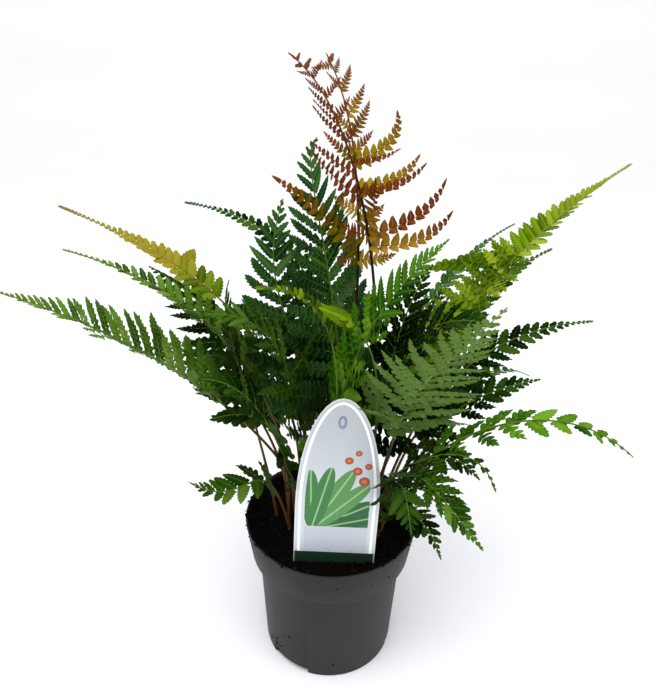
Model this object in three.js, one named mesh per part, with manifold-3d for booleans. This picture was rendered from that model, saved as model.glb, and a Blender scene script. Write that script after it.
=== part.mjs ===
// An autumn fern in a round nursery pot: the moulded pot, its peat, a plant label pushed in at
// the front, and a crown of fronds, two of them young and bronze. Millimetres, +Z up, with the
// origin at the middle of the pot's underside. The label faces -Y.
import * as THREE from 'three';
import { mergeVertices } from 'three/addons/utils/BufferGeometryUtils.js';
import Module from 'manifold-3d';

const wasm = await Module();
wasm.setup();

const DEG = Math.PI / 180;
const GAP = 0.35; // clearance between pieces that touch

// Pot: a tapered wall under a wider collar, on a thick foot.
const POT_HEIGHT = 121.4;
const RIM_RADIUS = 65;
const COLLAR_HEIGHT = 30.5;
const COLLAR_FOOT_RADIUS = 61;
const COLLAR_STEP = 5.5;
const BASE_RADIUS = 51.2;
const WALL = 1.6;
const EDGE = 0.6; // chamfer of the brim and of the foot
const FLOOR = 7;
const POT_SIDES = 36;

// Three drainage channels cross the foot, each with a hole up into the pot.
const CHANNELS = 3;
const CHANNEL_WIDTH = 33;
const CHANNEL_HEIGHT = 4.8;
const CHANNEL_START = 24;
const CHANNEL_TURN = -126;
const DRAIN_RADIUS = 4;
const DRAIN_FROM_AXIS = 38;

// Peat, a little below the brim and heaped round the crown.
const SOIL_TOP = 115.8;
const SOIL_HEAP = 2.8;
const SOIL_HEAP_RADIUS = 34;
const SOIL_ROUGH = 0.7;
const SOIL_SIDES = 20;
const SOIL_RINGS = [14, 28, 41, 53];

// Plant label: a thin card with an arched top and a raised stud, standing in a slot in the peat.
const LABEL_WIDTH = 57;
const LABEL_LENGTH = 150;
const LABEL_ARCH = 84;
const LABEL_THICKNESS = 0.8;
const LABEL_FOOT = [1.5, -46, 99];
const LABEL_LEAN = 1.6;
const LABEL_TILT = 2.5;
const STUD_LENGTH = 9;
const STUD_WIDTH = 5;
const STUD_RAISE = 0.5;
const STUD_FROM_TOP = 17;

// Fronds. The stalk stands in a hole in the peat and turns into the midrib of the blade.
const STALK_TOP_OF_PEAT = 119;
const HOLE_DEPTH = 18;
const HOLE_RADIUS = 2.5;
const HOLE_SIDES = 5;
const STALK_HALF = 1.2;
const MIDRIB_TIP_HALF = 0.42;
const STALK_STEPS = 4;
const BLADE_HALF = 0.4; // half the thickness of a side leaf
const NOTCH = 0.4; // how far out the cuts between the teeth of a side leaf start
const ROOT_WIDTH = 2.4; // length of midrib that a side leaf grows from
const PAIR_SHARE = 0.5; // share of the real number of side leaves, each made larger
const TOOTH_LEAN = 0.75; // how far along its own stretch of rib a tooth points
const TEETH = [[40, 3], [27, 2], [16, 1]]; // a side leaf longer than this has so many teeth a side
const END_SHARE = 0.7; // length of a side leaf's end past its last tooth, in teeth
const PLAIN_LEAF = 8; // a leaf with no teeth that is longer than this is broad in the middle
const PLAIN_WIDEST = 0.5;
const SLENDER = 0.27; // most half width of a side leaf, in shares of its length
const AIR = 0.5; // least air between two fronds
const TRIED_LIFTS = [0, 7, -7, 14, -14, 22, -22, 32, -32, 44, -44];
const TRIED_LENGTHS = [1, 0.8, 0.6, 0.42];
const STALK_CELLS = 20;
const BLADE_CROWDING = 1.3; // how much closer side leaves stand at a blade's tip than at its foot
const SHORTEST_LEAF = 2;

// Habit of the side leaves. Angles in degrees: sweep towards the tip at the blade's foot and at
// its tip, hook forward along the leaf, lift above the blade, curl of the leaf's end. Then half
// the leaf's width as a share of the space to the next, how fast the blade tapers, the colour.
const HABITS = {
  bronze: [14, 46, 36, 10, 10, 0.24, 1.6, 0x9c4a22],
  gold: [22, 48, 34, 12, 10, 0.27, 1.6, 0xa77428],
  blue: [20, 46, 14, 6, -14, 0.43, 1.1, 0x2d6a45],
  dark: [20, 46, 12, 6, -16, 0.43, 1.1, 0x1f4a22],
  lime: [-40, 48, 14, 20, -8, 0.43, 2.0, 0x8fa524],
  yellow: [24, 48, 14, 14, -10, 0.43, 1.4, 0xb8a22c],
  green: [22, 46, 14, 8, -16, 0.43, 1.1, 0x3f7a24],
  light: [24, 46, 14, 8, -14, 0.43, 1.1, 0x6a9a3c],
  pale: [24, 46, 10, 6, -10, 0.43, 1.0, 0x6f8a56],
  bright: [26, 46, 10, 2, -18, 0.4, 1.1, 0x4d9420],
};

// Each frond: name, root x y, two points that draw its arch, its tip, the bare share of its
// length, pairs of side leaves, length of the longest, roll of the blade at its foot and its tip,
// habit. Where two would touch, the one in the earlier row keeps its shape.
const FRONDS = [
  ['bronze_front', [14, 6], [45, 12, 245], [20, 8, 410], [-30, 0, 442], 0.56, 13, 64, [80, 90], 'bronze'],
  ['bronze_back', [8, 24], [14, 30, 260], [24, 40, 385], [-10, 38, 440], 0.5, 13, 76, [40, 40], 'gold'],
  ['upright', [-6, 20], [28, 26, 245], [-36, 32, 392], [-14, 30, 392], 0.3, 15, 58, [0, 0], 'blue'],
  ['left_long', [-18, -2], [-30, -14, 205], [-114, -36, 290], [-189, -60, 326], 0.48, 14, 44, [0, 12], 'light'],
  ['right_bright', [30, 14], [60, 18, 230], [95, 26, 320], [185, 40, 379], 0.4, 15, 50, [-15, -5], 'lime'],
  ['front_pale', [30, -2], [46, -30, 262], [40, -78, 272], [79, -100, 339], 0.3, 15, 58, [35, 35], 'pale'],
  ['left_gold', [-24, 12], [-22, 28, 225], [-60, 50, 288], [-189, 50, 341], 0.6, 13, 22, [5, 25], 'yellow'],
  ['left_bright', [-28, 4], [-34, 8, 215], [-70, 12, 296], [-170, 0, 328], 0.42, 14, 44, [0, 15], 'light'],
  ['right_droop', [34, -6], [40, -30, 190], [110, -60, 290], [172, -78, 238], 0.4, 12, 30, [-25, -5], 'bright'],
  ['right_low', [38, -12], [50, -36, 195], [35, -80, 250], [85, -106, 192], 0.42, 10, 30, [0, 0], 'green'],
  ['left_arch', [-8, -8], [8, -26, 246], [8, -58, 335], [-43, -64, 332], 0.72, 9, 9, [70, 70], 'lime'],
  ['centre_light', [2, -4], [-10, -16, 240], [20, -30, 310], [63, -20, 346], 0.33, 14, 50, [-25, -35], 'light'],
  ['centre_tip', [22, -14], [30, -30, 240], [34, -52, 300], [-9, -60, 322], 0.84, 6, 15, [30, 30], 'lime'],
  ['left_inner', [-15, 20], [-10, 22, 270], [-60, 28, 280], [-36, 26, 355], 0.3, 13, 50, [70, 80], 'blue'],
  ['left_far', [0, 32], [8, 60, 230], [0, 90, 320], [-118, 115, 328], 0.4, 13, 18, [40, 40], 'dark'],
  ['left_dark', [-34, 14], [-40, 34, 200], [-75, 56, 262], [-132, 50, 299], 0.3, 13, 46, [20, 20], 'dark'],
  ['left_stalk', [-42, 2], [-54, -6, 222], [-77, -14, 290], [-67, -10, 314], 0.5, 10, 36, [25, 25], 'green'],
  ['left_low', [-32, -8], [-28, -20, 215], [-45, -34, 240], [-76, -44, 235], 0.38, 9, 34, [25, 25], 'dark'],
  ['left_small', [-31, -14], [-48, -22, 212], [-58, -40, 152], [-92, -50, 188], 0.42, 9, 24, [10, 10], 'green'],
  ['right_far', [15, 32], [35, 60, 210], [80, 100, 290], [140, 120, 315], 0.33, 13, 24, [0, 0], 'blue'],
  ['right_mid', [36, 22], [50, 40, 210], [95, 60, 285], [157, 75, 310], 0.33, 13, 38, [-10, -20], 'green'],
  ['right', [38, 10], [55, 18, 200], [90, 24, 268], [174, 20, 278], 0.33, 14, 40, [-25, -35], 'dark'],
  ['right_dark', [44, 3], [52, 8, 180], [80, 10, 222], [141, 8, 238], 0.32, 12, 40, [-25, -25], 'dark'],
  ['right_thin', [29, -11], [12, -36, 175], [78, -64, 262], [94, -84, 217], 0.5, 9, 14, [0, 0], 'dark'],
  ['right_inner', [35, -19], [42, -34, 150], [38, -62, 245], [50, -74, 171], 0.36, 9, 30, [-25, -25], 'dark'],
  ['centre_dark', [-14, 6], [-20, 0, 235], [-34, -16, 300], [-78, -30, 300], 0.3, 13, 54, [30, 30], 'dark'],
  ['centre_deep', [18, 16], [24, 18, 240], [54, 0, 300], [96, -20, 292], 0.3, 13, 54, [-30, -30], 'dark'],
  ['centre_right', [23, -5], [30, -10, 240], [42, -2, 300], [60, 10, 319], 0.34, 13, 44, [-20, -30], 'dark'],
  ['centre_back', [-4, 12], [-4, 30, 230], [-6, 66, 310], [-14, 110, 300], 0.3, 13, 52, [20, 20], 'green'],
  ['back', [4, 38], [8, 60, 220], [20, 120, 270], [40, 195, 215], 0.33, 12, 46, [0, 0], 'green'],
  ['back_left', [-16, 34], [-24, 60, 215], [-60, 110, 262], [-95, 170, 205], 0.33, 12, 46, [0, 0], 'dark'],
  ['back_right', [26, 32], [44, 56, 210], [90, 100, 265], [120, 150, 215], 0.33, 12, 46, [0, 0], 'dark'],
  ['back_low_left', [-34, 24], [-50, 40, 200], [-110, 70, 245], [-165, 105, 200], 0.33, 12, 42, [0, 0], 'green'],
  ['back_low_right', [43, 16], [58, 30, 195], [110, 50, 240], [160, 80, 200], 0.33, 12, 42, [0, 0], 'green'],
  ['left_shade', [-22, -11], [-30, -22, 190], [-46, -38, 262], [-80, -52, 268], 0.32, 11, 42, [35, 35], 'dark'],
  ['right_shade', [41, -4], [52, -14, 170], [66, -36, 225], [92, -52, 200], 0.32, 10, 30, [-30, -30], 'dark'],
  ['front_low', [27, -17], [40, -38, 160], [56, -62, 190], [66, -88, 168], 0.34, 9, 22, [0, 0], 'dark'],
];

function plastic(color, roughness) {
  return new THREE.MeshStandardMaterial({ color, roughness, metalness: 0 });
}

// Closed geometries become manifold-3d solids, to be joined and cut, and come back as geometries.
function solidOf(geometry) {
  const bare = geometry.clone();
  bare.deleteAttribute('normal');
  bare.deleteAttribute('uv');
  const merged = mergeVertices(bare, 1e-4);
  const vertProperties = new Float32Array(merged.attributes.position.array);
  const triVerts = new Uint32Array(merged.index.array);
  return new wasm.Manifold(new wasm.Mesh({ numProp: 3, vertProperties, triVerts }));
}

function closedGeometry(positions, indices) {
  const geometry = new THREE.BufferGeometry();
  geometry.setAttribute('position', new THREE.BufferAttribute(new Float32Array(positions), 3));
  geometry.setIndex(new THREE.BufferAttribute(new Uint32Array(indices), 1));
  geometry.computeVertexNormals();
  return geometry;
}

function geometryOf(manifold) {
  const mesh = manifold.getMesh();
  return closedGeometry(mesh.vertProperties, mesh.triVerts);
}

// The pot's wall radii at a height, outside and inside.
function outerRadius(z) {
  const step = POT_HEIGHT - COLLAR_HEIGHT;
  if (z >= step) {
    return COLLAR_FOOT_RADIUS + (RIM_RADIUS - COLLAR_FOOT_RADIUS) * (z - step) / COLLAR_HEIGHT;
  }
  return BASE_RADIUS + (COLLAR_FOOT_RADIUS - COLLAR_STEP - BASE_RADIUS) * z / step;
}

function makePot() {
  const step = POT_HEIGHT - COLLAR_HEIGHT;
  const profile = [
    [0, 0],
    [outerRadius(0) - EDGE, 0],
    [outerRadius(EDGE), EDGE],
    [outerRadius(step - 0.01), step],
    [outerRadius(step), step + EDGE],
    [RIM_RADIUS, POT_HEIGHT - EDGE],
    [RIM_RADIUS - EDGE, POT_HEIGHT],
    [RIM_RADIUS - WALL, POT_HEIGHT],
    [outerRadius(step + WALL) - WALL, step + 2 * WALL],
    [outerRadius(step - 0.01) - WALL, step + WALL],
    [outerRadius(FLOOR) - WALL, FLOOR],
    [0, FLOOR],
  ];
  const lathe = new THREE.LatheGeometry(profile.map(([r, z]) => new THREE.Vector2(r, z)), POT_SIDES);
  let pot = solidOf(lathe.rotateX(Math.PI / 2));
  for (let i = 0; i < CHANNELS; i++) {
    const angle = CHANNEL_TURN * DEG + (i * 2 * Math.PI) / CHANNELS;
    const reach = BASE_RADIUS + 10 - CHANNEL_START;
    const channel = new THREE.BoxGeometry(reach, CHANNEL_WIDTH, 2 * CHANNEL_HEIGHT)
      .translate(CHANNEL_START + reach / 2, 0, 0).rotateZ(angle);
    const drain = new THREE.CylinderGeometry(DRAIN_RADIUS, DRAIN_RADIUS, 3 * FLOOR, 10)
      .rotateX(Math.PI / 2).translate(DRAIN_FROM_AXIS, 0, 0).rotateZ(angle);
    pot = pot.subtract(solidOf(channel)).subtract(solidOf(drain));
  }
  return geometryOf(pot);
}

// Height of the peat at a point: a low heap with shallow lumps.
function soilHeight(x, y) {
  const heap = SOIL_HEAP * Math.exp(-(x * x + y * y) / SOIL_HEAP_RADIUS ** 2);
  const lumps = Math.sin(0.19 * x + 1.1) * Math.cos(0.23 * y - 0.4) + Math.sin(0.11 * (x + y) + 2);
  return SOIL_TOP + heap + (SOIL_ROUGH / 2) * lumps;
}

function makeSoil() {
  const step = POT_HEIGHT - COLLAR_HEIGHT;
  const positions = [0, 0, soilHeight(0, 0)];
  const rim = outerRadius(SOIL_TOP) - WALL - GAP;
  const rings = [
    ...SOIL_RINGS.map((r) => [r]),
    [rim],
    [outerRadius(step + 2 * WALL) - WALL - 2 * GAP, step + 2 * WALL],
    [outerRadius(step - 0.01) - WALL - GAP, step + WALL],
    [outerRadius(FLOOR) - WALL - GAP, FLOOR + GAP],
  ];
  for (const [radius, height] of rings) {
    for (let i = 0; i < SOIL_SIDES; i++) {
      const angle = (i * 2 * Math.PI) / SOIL_SIDES;
      const x = radius * Math.cos(angle);
      const y = radius * Math.sin(angle);
      positions.push(x, y, height ?? soilHeight(x, y));
    }
  }
  positions.push(0, 0, FLOOR + GAP);
  const last = positions.length / 3 - 1;
  const faces = [];
  for (let i = 0; i < SOIL_SIDES; i++) {
    const next = (i + 1) % SOIL_SIDES;
    faces.push(0, 1 + i, 1 + next);
    for (let k = 0; k < rings.length - 1; k++) {
      const a = 1 + k * SOIL_SIDES;
      const b = a + SOIL_SIDES;
      faces.push(a + i, b + i, b + next, a + i, b + next, a + next);
    }
    const edge = 1 + (rings.length - 1) * SOIL_SIDES;
    faces.push(last, edge + next, edge + i);
  }
  let soil = solidOf(closedGeometry(positions, faces));
  for (const [, [x, y]] of FRONDS) {
    const hole = new THREE.CylinderGeometry(HOLE_RADIUS, HOLE_RADIUS, 2 * HOLE_DEPTH, HOLE_SIDES)
      .rotateX(Math.PI / 2).translate(x, y, STALK_TOP_OF_PEAT);
    soil = soil.subtract(solidOf(hole));
  }
  const slot = new THREE.BoxGeometry(LABEL_WIDTH + 2 * GAP, LABEL_THICKNESS + 2 * GAP, LABEL_LENGTH)
    .translate(0, 0, LABEL_LENGTH / 2 - GAP).applyMatrix4(labelPlace());
  return geometryOf(soil.subtract(solidOf(slot)));
}

function labelPlace() {
  const turn = new THREE.Euler(-LABEL_TILT * DEG, LABEL_LEAN * DEG, 0, 'YXZ');
  return new THREE.Matrix4().makeRotationFromEuler(turn).setPosition(...LABEL_FOOT);
}

// The card's outline lies in X and Z, with its foot at the origin, and its printed face is -Y.
function makeLabel() {
  const shoulder = LABEL_LENGTH - LABEL_ARCH;
  const outline = new THREE.Shape()
    .moveTo(-LABEL_WIDTH / 2, 0)
    .lineTo(LABEL_WIDTH / 2, 0)
    .lineTo(LABEL_WIDTH / 2, shoulder)
    .absellipse(0, shoulder, LABEL_WIDTH / 2, LABEL_ARCH, 0, Math.PI, false);
  const oval = new THREE.Shape()
    .absellipse(0, LABEL_LENGTH - STUD_FROM_TOP, STUD_WIDTH / 2, STUD_LENGTH / 2, 0, 2 * Math.PI);
  const card = new THREE.ExtrudeGeometry(outline, {
    depth: LABEL_THICKNESS, bevelEnabled: false, curveSegments: 12,
  });
  const stud = new THREE.ExtrudeGeometry(oval, {
    depth: LABEL_THICKNESS / 2 + STUD_RAISE, bevelEnabled: false, curveSegments: 6,
  });
  card.translate(0, 0, -LABEL_THICKNESS / 2).rotateX(Math.PI / 2);
  stud.rotateX(Math.PI / 2);
  return geometryOf(solidOf(card).add(solidOf(stud)));
}

// A frond's midrib: its curve, and the blade's sideways and upward directions along it.
function frondShape([name, root, rise, arch, tip, bare, pairs, reach, roll, kind]) {
  const foot = new THREE.Vector3(root[0], root[1], STALK_TOP_OF_PEAT);
  const curve = new THREE.CubicBezierCurve3(
    foot, new THREE.Vector3(...rise), new THREE.Vector3(...arch), new THREE.Vector3(...tip));
  const heading = new THREE.Vector3(tip[0] - root[0], tip[1] - root[1], 0).normalize();
  const across = new THREE.Vector3(heading.y, -heading.x, 0);
  const station = (share) => {
    const point = curve.getPointAt(share);
    const along = curve.getTangentAt(share);
    const level = across.clone().addScaledVector(along, -across.dot(along)).normalize();
    const angle = (roll[0] + (roll[1] - roll[0]) * share) * DEG;
    const side = level.applyAxisAngle(along, -angle);
    return { point, along, side, up: new THREE.Vector3().crossVectors(side, along) };
  };
  const length = curve.getLength();
  return { name: `frond_${name}`, station, length, bare, pairs, reach, habit: HABITS[kind] };
}

// Side leaves are longest near the blade's foot and shrink to nothing at its tip.
function leafShare(u, taper) {
  return (0.8 + 1.1 * u) * (1 - u) ** taper;
}

function bladeShare(x) {
  return 1 - (1 - x) ** BLADE_CROWDING;
}

// Half width of a side leaf at a share of its own length.
function leafHalfWidth(leaf, v) {
  const widest = Math.min(leaf.fill * leaf.space * Math.cos(leaf.sweep), SLENDER * leaf.length);
  return widest * (0.9 + 0.35 * v) * (1 - v ** 2.2) ** 0.8;
}

// One side leaf of a blade: where it grows and how long, wide and swept it is.
function sideLeaf(frond, u, side, space) {
  const [footSweep, tipSweep, hook, lift, curl, fill, taper] = frond.habit;
  return {
    at: frond.station(frond.bare + (1 - frond.bare) * u),
    side,
    length: Math.max(SHORTEST_LEAF, frond.reach * leafShare(u, taper)),
    space,
    fill,
    sweep: (footSweep + (tipSweep - footSweep) * u) * DEG,
    hook: hook * DEG,
    lift: lift * DEG,
    curl: curl * DEG,
  };
}

// Where along a side leaf its edges have a corner, and whether a tooth stands before it.
function leafCorners(length) {
  const teeth = (TEETH.find(([longer]) => length > longer) ?? [0, 0])[1];
  const corners = [{ v: 0 }];
  for (let k = 1; k <= teeth; k++) corners.push({ v: k / (teeth + END_SHARE), share: NOTCH, tooth: true });
  if (!teeth && length > PLAIN_LEAF) corners.push({ v: PLAIN_WIDEST, share: 1 });
  return [...corners, { v: 1, share: 0 }];
}

// The leaf's rib: a station at each corner, with the leaf's width and upward directions.
function leafRib(leaf, length, shrink, extraLift, root, rootHalf) {
  const { along, side, up } = leaf.at;
  const directions = (v) => {
    const sweep = leaf.sweep + leaf.hook * v;
    const lift = leaf.lift + extraLift * DEG + leaf.curl * v;
    const flat = side.clone().multiplyScalar(leaf.side * Math.cos(sweep))
      .addScaledVector(along, Math.sin(sweep));
    const outward = flat.multiplyScalar(Math.cos(lift)).addScaledVector(up, Math.sin(lift));
    const width = side.clone().multiplyScalar(-leaf.side * Math.sin(sweep))
      .addScaledVector(along, Math.cos(sweep));
    return { outward, width };
  };
  const point = root.clone();
  let last = 0;
  return leafCorners(length).map(({ v, share, tooth }) => {
    point.addScaledVector(directions((v + last) / 2).outward, length * (v - last));
    const { outward, width } = directions(v);
    const normal = new THREE.Vector3().crossVectors(outward, width).multiplyScalar(leaf.side);
    const half = v === 0 ? rootHalf : share * shrink * leafHalfWidth(leaf, v);
    const toothAt = last + TOOTH_LEAN * (v - last);
    const reach = tooth ? shrink * leafHalfWidth(leaf, toothAt) : 0;
    last = v;
    return { point: point.clone(), width, normal, half, reach };
  });
}

// Clearance between fronds is tested with cells: oriented boxes, and the lines that mark them out.
// A line of one piece that enters a box of another means that the two would touch.
function cell(p, q, width, normal, halfWidth, halfThickness) {
  const centre = p.clone().add(q).multiplyScalar(0.5);
  const along = q.clone().sub(p);
  const length = along.length();
  along.normalize();
  const w = width.clone().addScaledVector(along, -width.dot(along)).normalize();
  const n = new THREE.Vector3().crossVectors(along, w);
  if (n.dot(normal) < 0) n.negate();
  const half = [length / 2, halfWidth, halfThickness];
  const corner = (end, s) => end.clone().addScaledVector(w, s * halfWidth);
  const lines = [
    [p, q],
    [corner(p, 1), corner(q, 1)],
    [corner(p, -1), corner(q, -1)],
    [corner(p, -1), corner(p, 1)],
    [corner(q, -1), corner(q, 1)],
  ];
  return { centre, axes: [along, w, n], half, lines };
}

function entersBox({ centre, axes, half }, [p, q], margin) {
  let from = 0;
  let to = 1;
  for (let i = 0; i < 3; i++) {
    const start = axes[i].dot(p) - axes[i].dot(centre);
    const run = axes[i].dot(q) - axes[i].dot(p);
    const reach = half[i] + margin;
    if (Math.abs(run) < 1e-9) {
      if (Math.abs(start) > reach) return false;
      continue;
    }
    const a = (-reach - start) / run;
    const b = (reach - start) / run;
    from = Math.max(from, Math.min(a, b));
    to = Math.min(to, Math.max(a, b));
    if (from > to) return false;
  }
  return true;
}

function touches(cells, others, margin) {
  return cells.some((a) => others.some((b) =>
    a.lines.some((line) => entersBox(b, line, margin))
    || b.lines.some((line) => entersBox(a, line, margin))));
}

// A group of cells with a sphere round it, so that far ones are passed over quickly.
function obstacle(owner, cells) {
  const centre = new THREE.Vector3();
  for (const c of cells) centre.addScaledVector(c.centre, 1 / cells.length);
  const radius = Math.max(...cells.flatMap((c) => c.lines.flat().map((p) => p.distanceTo(centre))));
  return { owner, cells, centre, radius: radius + 2 };
}

function stalkHalf(share) {
  return STALK_HALF + (MIDRIB_TIP_HALF - STALK_HALF) * share ** 0.8;
}

function stalkObstacles(frond) {
  const found = [];
  for (let k = 0; k < STALK_CELLS; k++) {
    const a = frond.station(k / STALK_CELLS);
    const b = frond.station((k + 1) / STALK_CELLS);
    const half = stalkHalf(k / STALK_CELLS);
    found.push(obstacle(frond.name, [cell(a.point, b.point, a.side, a.up, half, half)]));
  }
  return found;
}

function labelObstacle() {
  const place = labelPlace();
  const at = (x, z) => new THREE.Vector3(x, 0, z).applyMatrix4(place);
  const width = at(1, 0).sub(at(0, 0));
  const normal = new THREE.Vector3().crossVectors(width, at(0, 1).sub(at(0, 0)));
  const card = cell(at(0, 0), at(0, LABEL_LENGTH), width, normal, LABEL_WIDTH / 2, 1);
  return obstacle('label', [card]);
}

// A side leaf keeps outside the pot and above the peat.
function inFreeAir(cells) {
  return cells.every((c) => c.lines.flat().every((p) => {
    const overPot = Math.hypot(p.x, p.y) < RIM_RADIUS + 2;
    return p.z > (overPot ? POT_HEIGHT + 2 : 4);
  }));
}

function leafCells(rib) {
  return rib.slice(1).map((station, k) => {
    const before = rib[k];
    const widest = Math.max(before.half, station.half, station.reach);
    return cell(before.point, station.point, before.width, before.normal, widest, BLADE_HALF);
  });
}

// Each side leaf is lifted, lowered or shortened until it clears what is placed already.
function placeLeaf(frond, leaf, root, rootHalf, obstacles, beside) {
  for (const share of TRIED_LENGTHS) {
    for (const lift of TRIED_LIFTS) {
      const shrink = Math.min(1, share + 0.2);
      const rib = leafRib(leaf, leaf.length * share, shrink, lift, root, rootHalf);
      const cells = leafCells(rib);
      if (!inFreeAir(cells)) continue;
      const shape = obstacle(frond.name, cells);
      const near = obstacles.filter((o) => o.centre.distanceTo(shape.centre) < o.radius + shape.radius);
      const meets = (o) => {
        if (o.owner !== frond.name) return touches(cells, o.cells, BLADE_HALF + AIR);
        return touches(cells.slice(1), beside.includes(o) ? o.cells.slice(1) : o.cells, BLADE_HALF);
      };
      if (near.some(meets)) continue;
      obstacles.push(shape);
      beside.push(shape);
      return rib;
    }
  }
  return null;
}

// The mesh of a frond is one closed skin: a four-sided stalk and midrib, whose side faces open
// into the side leaves, each a thin arched blade with its leaflets cut to the rib.
class Skin {
  constructor() {
    this.positions = [];
    this.faces = [];
  }

  add(point) {
    this.positions.push(point.x, point.y, point.z);
    return this.positions.length / 3 - 1;
  }

  face(a, b, c, flipped = false) {
    this.faces.push(...(flipped ? [a, c, b] : [a, b, c]));
  }

  quad(a, b, c, d, flipped = false) {
    this.face(a, b, c, flipped);
    this.face(a, c, d, flipped);
  }

  // Corners of a square section: right top, left top, left bottom, right bottom.
  ring(point, side, up, half) {
    return [[1, 1], [-1, 1], [-1, -1], [1, -1]].map(([s, u]) =>
      this.add(point.clone().addScaledVector(side, s * half).addScaledVector(up, u * half)));
  }
}

function addLeaf(skin, side, rib, near, far) {
  const flipped = side < 0;
  const [top, bottom] = flipped ? [1, 2] : [0, 3];
  const pair = (point, normal) => [1, -1].map((s) =>
    skin.add(point.clone().addScaledVector(normal, s * BLADE_HALF)));
  const edge = ({ point, width, normal }, out) => pair(point.clone().addScaledVector(width, out), normal);
  const wall = (p, q) => skin.quad(p[1], q[1], q[0], p[0], flipped);
  const bothFaces = (build) => [[0, flipped], [1, !flipped]].forEach(([i, turned]) => build(i, turned));
  let rear = [near[top], near[bottom]];
  let front = [far[top], far[bottom]];
  rib.slice(1, -1).forEach((station, k) => {
    const before = rib[k];
    const nextRear = edge(station, -station.half);
    const nextFront = edge(station, station.half);
    bothFaces((i, turned) => skin.quad(rear[i], nextRear[i], nextFront[i], front[i], turned));
    if (station.reach) {
      const foot = { ...before, point: before.point.clone().lerp(station.point, TOOTH_LEAN) };
      const rearTooth = edge(foot, -station.reach);
      const frontTooth = edge(foot, station.reach);
      bothFaces((i, turned) => {
        skin.face(rear[i], rearTooth[i], nextRear[i], turned);
        skin.face(nextFront[i], frontTooth[i], front[i], turned);
      });
      wall(rear, rearTooth);
      wall(rearTooth, nextRear);
      wall(nextFront, frontTooth);
      wall(frontTooth, front);
    } else {
      wall(rear, nextRear);
      wall(nextFront, front);
    }
    rear = nextRear;
    front = nextFront;
  });
  const tip = edge(rib.at(-1), 0);
  bothFaces((i, turned) => skin.face(rear[i], tip[i], front[i], turned));
  wall(rear, tip);
  wall(tip, front);
}

// The stalk's foot goes straight down into its hole, then the midrib is followed ring by ring.
function makeFrond(frond, obstacles) {
  const skin = new Skin();
  const foot = frond.station(0);
  const bottom = foot.point.clone().setZ(STALK_TOP_OF_PEAT - HOLE_DEPTH + GAP);
  const level = frond.station(0.5).side.clone().setZ(0).normalize();
  const inward = new THREE.Vector3().crossVectors(level, new THREE.Vector3(0, 0, 1));
  let last = skin.ring(bottom, level, inward, STALK_HALF);
  skin.quad(...last);
  const walls = (next, open) => {
    for (let i = 0; i < 4; i++) {
      if (open.includes(i)) continue;
      const j = (i + 1) % 4;
      skin.quad(last[i], next[i], next[j], last[j]);
    }
    last = next;
  };
  const ringAt = (share) => {
    const { point, side, up } = frond.station(share);
    return skin.ring(point, side, up, stalkHalf(share));
  };
  for (let k = 0; k < STALK_STEPS; k++) walls(ringAt((frond.bare * k) / STALK_STEPS), []);
  const pairs = Math.round(frond.pairs * PAIR_SHARE);
  const beside = []; // the leaves of this frond
  for (let i = 0; i < pairs; i++) {
    const u = bladeShare((i + 0.2) / pairs);
    const space = (bladeShare((i + 1) / pairs) - bladeShare(i / pairs)) * (1 - frond.bare) * frond.length;
    const share = frond.bare + (1 - frond.bare) * u;
    const rootHalf = Math.min(ROOT_WIDTH, 0.45 * space) / 2;
    const near = ringAt(share - rootHalf / frond.length);
    walls(near, []);
    const far = ringAt(share + rootHalf / frond.length);
    const open = [];
    for (const [side, face] of [[1, 3], [-1, 1]]) {
      const leaf = sideLeaf(frond, u, side, space);
      const root = leaf.at.point.clone().addScaledVector(leaf.at.side, side * stalkHalf(share));
      const rib = placeLeaf(frond, leaf, root, rootHalf, obstacles, beside);
      if (!rib) continue;
      addLeaf(skin, side, rib, near, far);
      open.push(face);
    }
    walls(far, open);
  }
  const tip = skin.add(frond.station(1).point);
  for (let i = 0; i < 4; i++) skin.face(last[i], tip, last[(i + 1) % 4]);
  return closedGeometry(skin.positions, skin.faces);
}

const plant = new THREE.Group();

function addPiece(name, geometry, material) {
  const mesh = new THREE.Mesh(geometry, material);
  mesh.name = name;
  plant.add(mesh);
  return mesh;
}

addPiece('pot', makePot(), plastic(0x45443f, 0.55));
addPiece('soil', makeSoil(), plastic(0x21150e, 0.95));
addPiece('label', makeLabel(), plastic(0xc3c9cc, 0.35)).applyMatrix4(labelPlace());

const fronds = FRONDS.map(frondShape);
const placed = [labelObstacle(), ...fronds.flatMap(stalkObstacles)];
for (const frond of fronds) {
  addPiece(frond.name, makeFrond(frond, placed), plastic(frond.habit.at(-1), 0.5));
}

export default plant;
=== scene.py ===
import math

import bmesh
import bpy
import numpy as np
from mathutils import Matrix, Vector


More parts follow.
